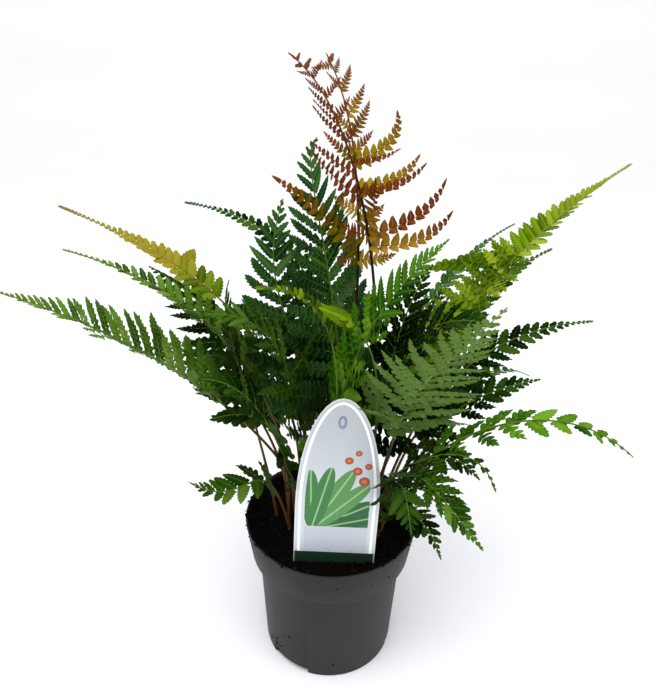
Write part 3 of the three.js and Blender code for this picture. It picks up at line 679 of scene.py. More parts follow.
# Each frond: name, root x y, two points that draw its arch, its tip, the bare share of its length,
# pairs of side leaves, length of the longest, roll of the blade at its foot and its tip, kind.
# Millimetres and degrees. The young ones have their side leaves from the table above instead of
# pairs and length. Where two fronds would touch, the one in the earlier row keeps its shape.
FRONDS = [
    ("bronze_front", (14, 6), (45, 12, 245), (20, 8, 410), (-30, 0, 442), 0.56, 9, 64, (80, 90), "bronze"),
    ("bronze_back", (8, 24), (14, 30, 260), (24, 40, 385), (-10, 38, 440), 0.5, 8, 76, (40, 40), "gold"),
    ("upright", (-6, 20), (28, 26, 245), (-36, 32, 392), (-14, 30, 392), 0.3, 15, 58, (0, 0), "blue"),
    ("left_long", (-18, -2), (-30, -14, 205), (-114, -36, 290), (-189, -60, 326),
     0.48, 14, 44, (0, 12), "light"),
    ("right_bright", (30, 14), (60, 18, 230), (95, 26, 320), (185, 40, 379), 0.4, 15, 50, (-15, -5), "lime"),
    ("front_pale", (30, -2), (46, -30, 262), (40, -78, 272), (79, -100, 339), 0.41, 15, 58, (35, 35), "pale"),
    ("left_gold", (-24, 12), (-22, 28, 225), (-60, 50, 288), (-189, 50, 341), 0.6, 13, 22, (5, 25), "yellow"),
    ("left_bright", (-28, 4), (-34, 8, 215), (-70, 12, 296), (-170, 0, 328), 0.42, 14, 44, (0, 15), "light"),
    ("right_droop", (34, -6), (40, -30, 190), (110, -60, 290), (172, -78, 238),
     0.4, 12, 30, (-25, -5), "bright"),
    ("right_low", (38, -12), (50, -36, 195), (35, -80, 250), (85, -106, 192), 0.42, 10, 30, (0, 0), "green"),
    ("left_arch", (-8, -8), (8, -26, 246), (8, -58, 335), (-43, -64, 332), 0.72, 9, 9, (70, 70), "lime"),
    ("centre_light", (2, -4), (-10, -16, 240), (20, -30, 310), (63, -20, 346),
     0.33, 14, 50, (-25, -35), "light"),
    ("centre_tip", (22, -14), (30, -30, 240), (34, -52, 300), (-9, -60, 322), 0.84, 6, 15, (30, 30), "lime"),
    ("left_inner", (-15, 20), (-10, 22, 270), (-60, 28, 280), (-36, 26, 355), 0.3, 13, 50, (70, 80), "blue"),
    ("left_far", (0, 32), (8, 60, 230), (0, 90, 320), (-118, 115, 328), 0.4, 13, 18, (40, 40), "dark"),
    ("left_dark", (-34, 14), (-40, 34, 200), (-75, 56, 262), (-132, 50, 299), 0.3, 13, 46, (20, 20), "dark"),
    ("left_stalk", (-42, 2), (-54, -6, 222), (-77, -14, 290), (-67, -10, 314),
     0.5, 10, 36, (25, 25), "green"),
    ("left_low", (-32, -8), (-28, -20, 215), (-45, -34, 240), (-76, -44, 235), 0.38, 9, 34, (25, 25), "dark"),
    ("left_small", (-31, -14), (-48, -22, 212), (-58, -40, 152), (-92, -50, 188),
     0.42, 9, 24, (10, 10), "green"),
    ("right_far", (15, 32), (35, 60, 210), (80, 100, 290), (140, 120, 315), 0.33, 13, 24, (0, 0), "blue"),
    ("right_mid", (36, 22), (50, 40, 210), (95, 60, 285), (157, 75, 310), 0.33, 13, 38, (-10, -20), "green"),
    ("right", (38, 10), (55, 18, 200), (90, 24, 268), (174, 20, 278), 0.33, 14, 40, (-25, -35), "dark"),
    ("right_dark", (44, 3), (52, 8, 180), (80, 10, 222), (141, 8, 238), 0.32, 12, 40, (-25, -25), "dark"),
    ("right_thin", (29, -11), (12, -36, 175), (78, -64, 262), (94, -84, 217), 0.5, 9, 14, (0, 0), "dark"),
    ("right_inner", (35, -19), (42, -34, 150), (38, -62, 245), (50, -74, 171),
     0.36, 9, 30, (-25, -25), "dark"),
    ("centre_dark", (-14, 6), (-20, 0, 235), (-34, -16, 300), (-78, -30, 300), 0.3, 13, 54, (30, 30), "dark"),
    ("centre_deep", (18, 16), (24, 18, 240), (54, 0, 300), (96, -20, 292), 0.3, 13, 54, (-30, -30), "dark"),
    ("centre_right", (23, -5), (30, -10, 240), (42, -2, 300), (60, 10, 319),
     0.34, 13, 44, (-20, -30), "dark"),
    ("centre_back", (-4, 12), (-4, 30, 230), (-6, 66, 310), (-14, 110, 300), 0.3, 13, 52, (20, 20), "green"),
    ("back", (4, 38), (8, 60, 220), (20, 120, 270), (40, 195, 215), 0.33, 12, 46, (0, 0), "green"),
    ("back_left", (-16, 34), (-24, 60, 215), (-60, 110, 262), (-95, 170, 205), 0.33, 12, 46, (0, 0), "dark"),
    ("back_right", (26, 32), (44, 56, 210), (90, 100, 265), (120, 150, 215), 0.33, 12, 46, (0, 0), "dark"),
    ("back_low_left", (-34, 24), (-50, 40, 200), (-110, 70, 245), (-165, 105, 200),
     0.33, 12, 42, (0, 0), "green"),
    ("back_low_right", (43, 16), (58, 30, 195), (110, 50, 240), (160, 80, 200),
     0.33, 12, 42, (0, 0), "green"),
    ("left_shade", (-22, -11), (-30, -22, 190), (-46, -38, 262), (-80, -52, 268),
     0.32, 11, 42, (35, 35), "dark"),
    ("right_shade", (41, -4), (52, -14, 170), (66, -36, 225), (92, -52, 200),
     0.32, 10, 30, (-30, -30), "dark"),
    ("front_low", (27, -17), (40, -38, 160), (56, -62, 190), (66, -88, 168), 0.34, 9, 22, (0, 0), "dark"),
]

# Where one frond differs from its kind. Colour names the leaf finish it has in place of its kind's.
OWN_WAYS = {
    "centre_dark": dict(colour="green"),
    "left_dark": dict(lift=-32, curl=-10, short=1.2),
    "back_low_right": dict(short=0.7, taper=1.3),
    "upright": dict(single=24, crowd=1.3, close=1.4, fill=0.5, plump=0.72, point=(3.0, 0.7)),
    "left_inner": dict(single=24, crowd=1.2, close=1.4, fill=0.48, plump=0.72, point=(3.4, 0.7)),
    "left_long": dict(taper=1.3, lift=24),
    "left_bright": dict(taper=1.5, lift=22, short=0.72),
    "left_far": dict(taper=1.2, crowd=2.4, fill=0.8),
    "right_bright": dict(taper=1.4, crowd=2.9, single=19, fill=0.8, plump=0.56, point=(2.2, 0.85),
                         tilt=-20, short=0.85),
    "right_far": dict(taper=1.2, crowd=2.4, single=12, fill=0.66, short=0.85),
    "right": dict(taper=1.3, lift=0, crowd=1.6, single=16, fill=0.62, plump=0.7, short=0.8),
    "right_dark": dict(short=0.75, fill=0.7),
    "right_low": dict(single=14, taper=1.1, crowd=1.5, close=1.5, fill=0.74, plump=0.75),
    "right_mid": dict(taper=1.3, lift=16, crowd=1.8, single=14, fill=0.8, plump=0.75),
    "centre_light": dict(lift=14, curl=-14, crowd=1.6, single=24, plump=0.66, short=0.85, colour="bright"),
    "centre_tip": dict(sweep=(30, 50), lift=-6, curl=0, taper=0.8, crowd=1.7, fill=0.9, single=33, short=0.7),
    "left_arch": dict(sweep=(34, 60), crowd=2.2, fill=0.9, colour="olive"),
}


def leaf_share(along, taper):
    """Side leaves are longest near the blade's foot and shrink to nothing at its tip."""
    return (0.8 + 1.1 * along) * (1 - along) ** taper


def blade_share(x, close):
    """How far up the blade a share of its side leaves reaches: they crowd towards its tip."""
    return 1 - (1 - x) ** close


def unit(vectors):
    return vectors / np.linalg.norm(vectors, axis=-1, keepdims=True)


def square_to(vectors, axes):
    """The unit vectors nearest to those given that are square to the unit axes."""
    return unit(vectors - (vectors * axes).sum(-1, keepdims=True) * axes)


def between(at, shares, rows):
    """Rows read off at other shares than their own."""
    return np.stack([np.interp(at, shares, rows[:, i]) for i in range(3)], 1)


class Midrib:
    """The curve of a frond, with the directions along it, to its right side and up off its blade."""

    def __init__(self, root, rise, arch, tip, roll):
        corners = np.array([(*root, CROWN_HEIGHT), rise, arch, tip], float)
        t = np.linspace(0, 1, CURVE_POINTS)[:, None]
        curve = ((1 - t) ** 3 * corners[0] + 3 * t * (1 - t) ** 2 * corners[1]
                 + 3 * t ** 2 * (1 - t) * corners[2] + t ** 3 * corners[3])
        steps = np.linalg.norm(np.diff(curve, axis=0), axis=1)
        run = np.concatenate([[0], np.cumsum(steps)])
        self.length = run[-1]
        self.shares = np.linspace(0, 1, MIDRIB_POINTS)
        self.points = between(self.shares * self.length, run, curve)
        self.along = unit(np.gradient(self.points, axis=0))
        heading = unit(np.array([tip[0] - root[0], tip[1] - root[1], 0.0]))
        level = square_to(np.array([heading[1], -heading[0], 0.0]), self.along)
        angle = np.radians(roll[0] + (roll[1] - roll[0]) * self.shares)[:, None]
        self.side = level * np.cos(angle) + np.cross(level, self.along) * np.sin(angle)
        self.up = np.cross(self.side, self.along)

    def at(self, share):
        """The point and the three directions at a share of the length."""
        steps = share * (MIDRIB_POINTS - 1)
        k = min(int(steps), MIDRIB_POINTS - 2)
        part = steps - k
        rows = (self.points, self.along, self.side, self.up)
        return [row[k] * (1 - part) + row[k + 1] * part for row in rows]


def stalk_half(shares, fall=0.8):
    return STALK_HALF + (TIP_HALF - STALK_HALF) * shares ** fall


def leaf_rib(place, hand, length, sweep, hook, lift, curl, tilt):
    """A side leaf's rib: its points, and the directions out along it, over its width and off it."""
    root, along, side, up = place
    tilt = math.radians(tilt)

    def heading(v):
        forward = np.radians(sweep + hook * v ** 2)[:, None]
        rise = np.radians(lift + curl * v)[:, None]
        flat = hand * np.cos(forward) * side + np.sin(forward) * along
        out = np.cos(rise) * flat + np.sin(rise) * up
        level = np.cos(forward) * along - hand * np.sin(forward) * side
        off = hand * np.cross(out, level)
        return out, math.cos(tilt) * level + math.sin(tilt) * off

    v = np.linspace(0, 1, RIB_STEPS + 1)
    middle, _ = heading((v[1:] + v[:-1]) / 2)
    points = root + np.concatenate([np.zeros((1, 3)), np.cumsum(middle, 0)]) * length / RIB_STEPS
    out, width = heading(v)
    return points, out, width, hand * np.cross(out, width)


class Clearing:
    """Keeps fronds apart. Each leaf or rib is a few turned boxes with the lines that mark them out:
    a line of one that enters a box of another means that the two would touch."""

    def __init__(self):
        self.parts = [np.zeros((0, *shape)) for shape in ((3,), (3, 3), (3,), (5, 2, 3))]
        self.owner = np.zeros(0, int)

    @staticmethod
    def boxes(low, high, width, half_width, thick):
        """Centres, axes, half sizes and marking lines of boxes from their two ends."""
        along = high - low
        length = np.linalg.norm(along, axis=1, keepdims=True)
        along = along / length
        width = square_to(width, along)
        axes = np.stack([along, width, np.cross(along, width)], 1)
        half = np.stack([length[:, 0] / 2, half_width, np.full(len(low), thick)], 1)
        over = width * half_width[:, None]
        ends = [(low, high), (low + over, high + over), (low - over, high - over),
                (low - over, low + over), (high - over, high + over)]
        lines = np.stack([np.stack(pair, 1) for pair in ends], 1)
        return (low + high) / 2, axes, half, lines

    @staticmethod
    def enters(lines, centre, axes, half, margin):
        apart = lines[:, None] - centre[None, :, None, None, :]
        local = np.einsum("abkej,bij->abkei", apart, axes)
        start = local[..., 0, :]
        run = local[..., 1, :] - start
        run = np.where(np.abs(run) < 1e-9, 1e-9, run)
        reach = half[None, :, None, :] + margin
        one, two = (-reach - start) / run, (reach - start) / run
        first = np.minimum(one, two).max(-1).clip(0)
        last = np.maximum(one, two).min(-1).clip(None, 1)
        return bool((first <= last).any())

    def blocked(self, boxes, owner, margin):
        centres, _, halves, _ = self.parts
        reach = np.linalg.norm(halves, axis=1)[:, None] + np.linalg.norm(boxes[2], axis=1) + 2
        apart = np.linalg.norm(centres[:, None] - boxes[0], axis=2)
        near = (apart < reach).any(1) & (self.owner != owner)
        if not near.any():
            return False
        others = [part[near] for part in self.parts]
        return (self.enters(boxes[3], *others[:3], margin)
                or self.enters(others[3], *boxes[:3], margin))

    def add(self, boxes, owner):
        self.parts = [np.concatenate(pair) for pair in zip(self.parts, boxes)]
        self.owner = np.concatenate([self.owner, np.full(len(boxes[0]), owner)])


def leaflet_form(shape, teeth):
    """A leaflet of unit length and half width: a thin lens with a ridge, teeth and a blunt or
    pointed end. Gives rows of along, across and height, its triangles, and which are beneath."""

    def half(w):
        if shape == "pointed":
            return min(1, 0.85 + 0.5 * w) * (1 - w ** 2.2) ** 0.8
        if shape == "lobed":
            return (1.06 - 0.14 * w) * (1 - w ** 3.6) ** 0.55
        if shape == "toothed":
            return min(1, 0.85 + w) * (1 - w ** 3.4) ** 0.6
        return min(1, 0.8 + 1.2 * w) * (1 - w ** 2.4) ** 0.75

    notch = {"pointed": 0.10, "lobed": 0.12, "toothed": 0.26, "long": 0.2}[shape] if teeth > 1 else 0
    rows = []
    for height in (1, -1):
        rows += [(k / teeth, 0.0, height) for k in range(teeth)]
    edges = {}
    for hand in (1, -1):
        for k in range(teeth):
            at = k / teeth
            edges[hand, "notch", k] = len(rows)
            rows.append((at, hand * half(at) * (1 - (notch if k else 0)), 0.0))
            out = (k + 0.72) / teeth if teeth > 1 else 0.45
            edges[hand, "tooth", k] = len(rows)
            rows.append((out, hand * half(min(out, 0.985)), 0.0))
    tip = len(rows)
    rows.append((1.0, 0.0, 0.0))
    faces, beneath = [], []
    for hand in (1, -1):
        for layer in (0, 1):
            for k in range(teeth):
                here = layer * teeth + k
                root, tooth = edges[hand, "notch", k], edges[hand, "tooth", k]
                if k == teeth - 1:
                    made = [(here, tooth, root), (here, tip, tooth)]
                else:
                    after = edges[hand, "notch", k + 1]
                    made = [(here, tooth, root), (here, here + 1, tooth), (here + 1, after, tooth)]
                flipped = (hand < 0) != (layer == 1)
                faces += [face[::-1] if flipped else face for face in made]
                beneath += [float(layer)] * len(made)
        # The root's end is closed between the two ridges' feet.
        root = edges[hand, "notch", 0]
        faces.append((0, root, teeth) if hand > 0 else (0, teeth, root))
        beneath.append(0.0)
    return np.array(rows), np.array(faces), np.array(beneath)


class Leaflets:
    """The leaflets of one frond, gathered first and then made all at once, form by form. A tooth
    takes up some millimetres of a leaflet's length, and a leaflet has some teeth at most."""

    LONE_TOOTH, MOST_LONE = 2.6, 14
    ROW_TOOTH, MOST_IN_ROW = 3.2, 4
    VECTOR_COLUMNS = 9

    def __init__(self):
        self.rows = []

    def grow(self, root, direction, normal, length, half, droop, outward, tone, share, blush, lone):
        """Adds leaflets, one to a row: three columns each for the first three, then one each."""
        rest = (length, half, droop, outward, tone, share, blush, lone)
        columns = [np.broadcast_to(np.reshape(value, (-1, 1)), (len(root), 1)) for value in rest]
        self.rows.append(np.concatenate([root, direction, normal, *columns], 1))

    def make(self, shape):
        """Points, triangles, growth and mark attributes, and which triangles are beneath."""
        table = np.concatenate(self.rows)
        length, lone = table[:, self.VECTOR_COLUMNS], table[:, -1] > 0.5
        teeth = np.where(lone, (length / self.LONE_TOOTH).round().clip(1, self.MOST_LONE),
                         (length / self.ROW_TOOTH).round().clip(1, self.MOST_IN_ROW))
        made = []
        start = 0
        for alone, count in sorted(set(zip(lone, teeth))):
            chosen = table[(lone == alone) & (teeth == count)]
            grown = ("toothed" if count < 7 else "long") if alone else shape
            form, sides, under = leaflet_form(grown, int(count))
            vectors, rest = chosen[:, None, :self.VECTOR_COLUMNS], chosen[:, self.VECTOR_COLUMNS:]
            root, direction, normal = np.split(vectors, 3, 2)
            length, half, droop, outward, tone, share, blush, _ = np.split(rest, rest.shape[1], 1)
            breadth = np.cross(normal, direction)
            along, over, height = form[:, 0], form[:, 1], form[:, 2]
            ridge = np.minimum(0.24, 0.12 + 0.02 * length) * height * (1 - 0.6 * along)
            sag = 0.2 * over ** 2 * half + droop * along ** 2 * length
            points = root + direction * (along * length)[..., None]
            points = points + breadth * (over * half)[..., None]
            points = points + normal * (ridge - sag)[..., None]
            size = len(form)
            growth = np.stack(np.broadcast_arrays(share, outward, along), 2)
            mark = np.stack(np.broadcast_arrays(np.abs(over), tone, blush), 2)
            faces = sides + size * np.arange(len(chosen))[:, None, None] + start
            made.append((points.reshape(-1, 3), faces.reshape(-1, 3), growth.reshape(-1, 3),
                         mark.reshape(-1, 3), np.tile(under, len(chosen))))
            start += points.shape[0] * size
        return [np.concatenate(column) for column in zip(*made)]


def tube(points, first, halves, sides, start):
    """A tapering round stem along points, closed at both ends. First is its first side direction,
    and start the number of its first point."""
    along = unit(np.gradient(points, axis=0))
    side = square_to(first, along)
    up = np.cross(side, along)
    angle = 2 * math.pi * np.arange(sides) / sides
    ring = np.cos(angle)[None, :, None] * side[:, None] + np.sin(angle)[None, :, None] * up[:, None]
    made = points[:, None] + ring * np.asarray(halves)[:, None, None]
    k = np.arange(sides)
    end = start + sides * (len(points) - 1)
    rings = np.arange(start, end, sides)[:, None]
    a, b = rings + k, rings + (k + 1) % sides
    faces = np.stack([a, a + sides, b + sides, b], 2).reshape(-1, 4).tolist()
    faces.append(list(range(start, start + sides)))
    faces.append(list(range(end + sides - 1, end - 1, -1)))
    return made.reshape(-1, 3), faces


def leaf_boxes(rib, half, shrink):
    """Four boxes along a side leaf."""
    points, _, width, _ = rib
    ends = np.arange(0, RIB_STEPS + 1, 2)
    reach = np.maximum(half((ends[:-1] + 1) / RIB_STEPS), 0.5) * shrink
    return Clearing.boxes(points[ends[:-1]], points[ends[1:]], width[ends[:-1]], reach, LEAF_THICK)


def in_free_air(points):
    """A side leaf keeps outside the pot, above the peat and off the floor."""
    over = np.hypot(points[:, 0], points[:, 1]) < RIM_RADIUS + POT_GAP
    return bool((points[:, 2] > np.where(over, POT_HEIGHT + POT_GAP, FLOOR_GAP)).all())


def place_rib(clearing, owner, place, hand, length, turns, half):
    """Lifts, lowers or shortens a side leaf until it clears what is placed already, and gives it
    with the share of its length that is left, or nothing where it finds no room."""
    sweep, hook, lift, curl, tilt = turns
    for share in LENGTHS_TRIED:
        for extra in LIFTS_TRIED:
            rib = leaf_rib(place, hand, length * share, sweep, hook, lift + extra, curl, tilt)
            boxes = leaf_boxes(rib, half, min(1, share + 0.2))
            if in_free_air(rib[0]) and not clearing.blocked(boxes, owner, LEAF_GAP):
                clearing.add(boxes, owner)
                return rib, share
    return None, 0


def dress_leaf(leaflets, rib, length, half, habit, share, tone, blush, rng):
    """Two rows of leaflets along a side leaf, closer towards its end, and one at the end."""
    if habit["shape"] == "pointed":
        count = round(8 + length / 14)
    else:
        count = max(4, round(length / max(2.7, 0.72 * float(half(0.2)))))
    lean_foot, lean_tip = habit["lean"]
    shares = np.linspace(0, 1, RIB_STEPS + 1)
    for row in (1, -1):
        x = (np.arange(count) + 0.30 + 0.14 * row) / count
        v = 1 - (1 - x) ** 1.35
        gap = 1.35 * (1 - x) ** 0.35 / count * length
        point, out, width, normal = [between(v, shares, line) for line in rib]
        lean = np.radians(lean_foot + (lean_tip - lean_foot) * v + rng.normal(0, 3, count))[:, None]
        rise = np.radians(habit["rise"] + rng.normal(0, 5, count))[:, None]
        flat = row * np.cos(lean) * width + np.sin(lean) * out
        direction = unit(np.cos(rise) * flat + np.sin(rise) * normal)
        face = square_to(normal, direction)
        roll = np.radians(9 + rng.normal(0, 4, count))[:, None]
        breadth = np.cross(face, direction)
        toward_tip = np.sign((breadth * out).sum(1, keepdims=True))
        face = unit(np.cos(roll) * face - np.sin(roll) * toward_tip * breadth)
        reach = half(v) / np.cos(lean[:, 0]) / np.cos(rise[:, 0]) * rng.uniform(0.92, 1.06, count)
        wide = habit["plump"] * gap * np.cos(lean[:, 0]) * (1 + 0.15 * v)
        wide = np.minimum(wide, 0.7 * reach + 0.2)
        droop = 0.1 + rng.uniform(-0.06, 0.14, count)
        mixed = (tone + rng.normal(0, 0.07, count)).clip(0, 1)
        leaflets.grow(point, direction, face, reach, wide, droop, v, mixed, share, blush, False)
    point, out, _, normal = [between(np.array([0.93]), shares, line) for line in rib]
    end = 0.08 * length + 1.0
    leaflets.grow(point, out, square_to(normal, out), end, end * 0.2, 0.05, 0.95, tone, share, blush, False)


def stem_finish(name, foot, top, change):
    finish = Finish(name)
    place = finish.place()
    share, _, _ = finish.split(finish.attribute("growth"))
    streak = finish.noise(finish.stretch(place, (900, 900, 90)), 1.0, 3)
    fleck = finish.noise(place, 700, 2).ease(0.58, 0.7) * share.ease(0.4, 0.05)
    colour = finish.blend(share.ease(*change), foot, top)
    colour = finish.blend(streak.ease(0.35, 0.75) * share.ease(0.7, 0.2) * 0.4, colour, (120, 92, 52))
    colour = finish.blend(fleck * 0.7, colour, (36, 20, 12))
    relief = finish.bump(streak, 0.4, 0.0002)
    return finish.done(finish.surface(Base_Color=colour, Roughness=0.42, Normal=relief,
                                      Specular_IOR_Level=0.15))


# The middle of the crown in metres, and from how near it the leaves get painted shade and where that
# shade is full. Leaves deep in the crown are painted darker, for the shade that falls there.
HEART = (0.0, 0.0, 0.24)
HEART_SHADE_REACH = (0.14, 0.06)


def leaf_finish(name, tones, spread=(0.5, 1.2), turn=(0.72, 1.0), dry=0.0, deep=0.0):
    """The colours of one kind of leaf. Tones are the shaded, main and light ones, mixed leaflet by
    leaflet, those of the side leaves' tips and of the frond's young end, the underside's and that
    of the light that comes through. Spread and turn say where tips and young end begin and are
    full, dry how brown the frond's end is, and deep how much painted shade darkens the leaves in
    the crown's heart. Each leaflet also gets painted shade towards its edges."""
    shade, main, light, tips, young, beneath, glow = tones
    finish = Finish(name)
    place = finish.place()
    share, outward, along = finish.split(finish.attribute("growth"))
    across, tone, blush = finish.split(finish.attribute("mark"))
    under = finish.attribute("beneath", "Fac")
    mottle = finish.noise(place, 210, 4, 0.6)
    fine = finish.noise(place, 1100, 2)
    mixed = tone + 0.5 * mottle - 0.25
    colour = finish.blend(mixed.ease(0.05, 0.55), shade, main)
    colour = finish.blend(mixed.ease(0.5, 1.0), colour, light)
    colour = finish.blend((outward + blush + 0.5 * mottle - 0.25).ease(*spread), colour, tips)
    colour = finish.blend(share.ease(*turn) * 0.85, colour, young)
    colour = finish.blend(share.ease(0.6, 1.0) * dry, colour, (128, 84, 44))
    # Painted shade: the nearer a leaf is to the crown's heart, the darker it is painted.
    heart = finish.add("VectorMath", {"operation": "DISTANCE"}, {0: place, 1: HEART}, "Value")
    # Painted shade: each leaflet is darker towards its edges, for the shade between leaflets.
    painted_shade = (1 - 0.34 * across.ease(0.4, 1.0)) * (1 - deep * heart.ease(*HEART_SHADE_REACH))
    colour = finish.add("VectorMath", {"operation": "SCALE"}, {0: colour, "Scale": painted_shade})
    colour = finish.blend(across.ease(0.16, 0.02) * 0.4, colour, light)
    colour = finish.blend(under * 0.85, colour, beneath)
    colour = finish.blend(fine.ease(0.62, 0.8) * 0.25, colour, light)
    veins = (along * 46 + across * 9).sine()
    relief = finish.bump(veins * 0.5 + fine, 0.3, 0.00025)
    body = finish.surface(Base_Color=colour, Roughness=0.42 + 0.12 * fine, Normal=relief,
                          Specular_IOR_Level=0.03)
    through = finish.add("BsdfTranslucent", {}, {"Color": tint(glow)})
    return finish.done(finish.add("MixShader", {}, {0: 0.18, 1: body, 2: through}))


# Deep is how much painted shade a kind gets in the crown's heart.
LEAF_LOOKS = {
    "bronze": dict(tones=[(86, 62, 8), (134, 108, 12), (176, 144, 46), (118, 54, 22), (114, 52, 22),
                          (134, 90, 48), (190, 105, 8)], spread=(0.35, 1.05), dry=0.4),
    "gold": dict(tones=[(96, 84, 6), (148, 128, 12), (184, 156, 40), (136, 74, 24), (126, 64, 24),
                        (158, 122, 46), (190, 125, 6)], spread=(0.45, 1.15), dry=0.4),
    "blue": dict(tones=[(26, 68, 22), (64, 112, 50), (114, 150, 88), (54, 104, 46), (64, 112, 46),
                        (82, 118, 64), (44, 106, 18)], deep=0.3),
    "dark": dict(tones=[(4, 26, 1), (28, 62, 8), (76, 110, 34), (36, 72, 12), (38, 78, 18),
                        (54, 86, 26), (34, 84, 4)], deep=0.3),
    "lime": dict(tones=[(66, 98, 4), (114, 146, 12), (166, 184, 52), (132, 154, 20), (158, 172, 54),
                        (128, 150, 46), (136, 176, 10)], turn=(0.6, 0.9), dry=0.25),
    "olive": dict(tones=[(44, 70, 4), (84, 112, 12), (130, 150, 36), (108, 132, 20), (134, 148, 34),
                         (100, 122, 36), (100, 140, 8)], turn=(0.9, 1.0)),
    "yellow": dict(tones=[(56, 94, 6), (92, 130, 10), (150, 164, 50), (120, 132, 20), (176, 156, 52),
                          (130, 140, 50), (190, 180, 6)], turn=(0.05, 0.35), dry=0.9),
    "green": dict(tones=[(22, 54, 4), (58, 98, 16), (108, 142, 50), (56, 98, 18), (76, 118, 30),
                         (78, 112, 46), (60, 120, 6)], deep=0.3),
    "light": dict(tones=[(52, 86, 18), (94, 134, 36), (138, 166, 80), (94, 134, 44), (120, 150, 54),
                         (100, 132, 62), (92, 142, 14)], deep=0.3),
    "pale": dict(tones=[(70, 104, 38), (106, 140, 64), (144, 168, 104), (100, 134, 60), (110, 140, 70),
                        (112, 142, 72), (76, 118, 16)], deep=0.5),
    "bright": dict(tones=[(34, 78, 6), (74, 124, 14), (122, 164, 48), (76, 126, 20), (96, 142, 34),
                          (94, 130, 50), (82, 152, 8)]),
}
LEAF_FINISHES = {kind: leaf_finish(f"leaf_{kind}", **look) for kind, look in LEAF_LOOKS.items()}

# Stalks are brown, except on a few fronds.
BROWN_STALK = stem_finish("stalk_brown", (98, 64, 36), (88, 112, 34), (0.15, 0.6))
BLACK_STALK = stem_finish("stalk_black", (34, 20, 14), (128, 76, 34), (0.7, 0.98))
LIME_STALK = stem_finish("stalk_lime", (92, 84, 36), (138, 150, 48), (0.5, 0.85))
PALE_STALK = stem_finish("stalk_pale", (98, 84, 46), (148, 160, 104), (0.2, 0.5))
STALKS = {"bronze_front": BLACK_STALK, "bronze_back": BLACK_STALK, "left_gold": LIME_STALK,
          "right_bright": LIME_STALK, "front_pale": PALE_STALK}


def side_leaves(row, habit, midrib, rng):
    """Each side leaf's share of the midrib and of the blade, its side, length, half width, turns
    and how rusty it is."""
    name, bare, pairs, reach = row[0], *row[5:8]
    made = []
    if name in YOUNG_LEAVES:
        for share, hand, length, wide, sweep, hook, blush in YOUNG_LEAVES[name]:
            tilt = habit["tilt"] * (0.75 + 0.25 * hand)
            turns = (sweep, hook, rng.normal(4, 5), rng.normal(0, 8), tilt)
            made.append((share, (share - bare) / (1 - bare), hand, length, 1.2 * wide, turns, blush))
        return made
    for share, hand, length, wide, sweep, lift, tilt in STRAY_LEAVES.get(name, []):
        turns = (sweep, 0, lift, 0, tilt)
        made.append((share, (share - bare) / (1 - bare), hand, length, wide, turns, 0.0))
    reach *= habit["short"]
    count = round(pairs * habit["crowd"])
    close = habit["close"]
    for i in range(count):
        room = blade_share((i + 1) / count, close) - blade_share(i / count, close)
        space = room * (1 - bare) * midrib.length
        for hand in (1, -1):
            begin = blade_share((i + 0.15 + 0.12 * (1 - hand)) / count, close)
            length = max(reach * leaf_share(begin, habit["taper"]) * rng.uniform(0.93, 1.05), 2.2)
            sweep = habit["sweep"][0] + (habit["sweep"][1] - habit["sweep"][0]) * begin
            turns = (sweep + rng.normal(0, 2.5), habit["hook"] + rng.normal(0, 4),
                     habit["lift"] + rng.normal(0, 4), habit["curl"] + rng.normal(0, 7), habit["tilt"])
            wide = min(habit["fill"] * space * math.cos(math.radians(sweep)), 0.2 * length + 1.4)
            made.append((bare + (1 - bare) * begin, begin, hand, length, wide, turns, 0.0))
    return made


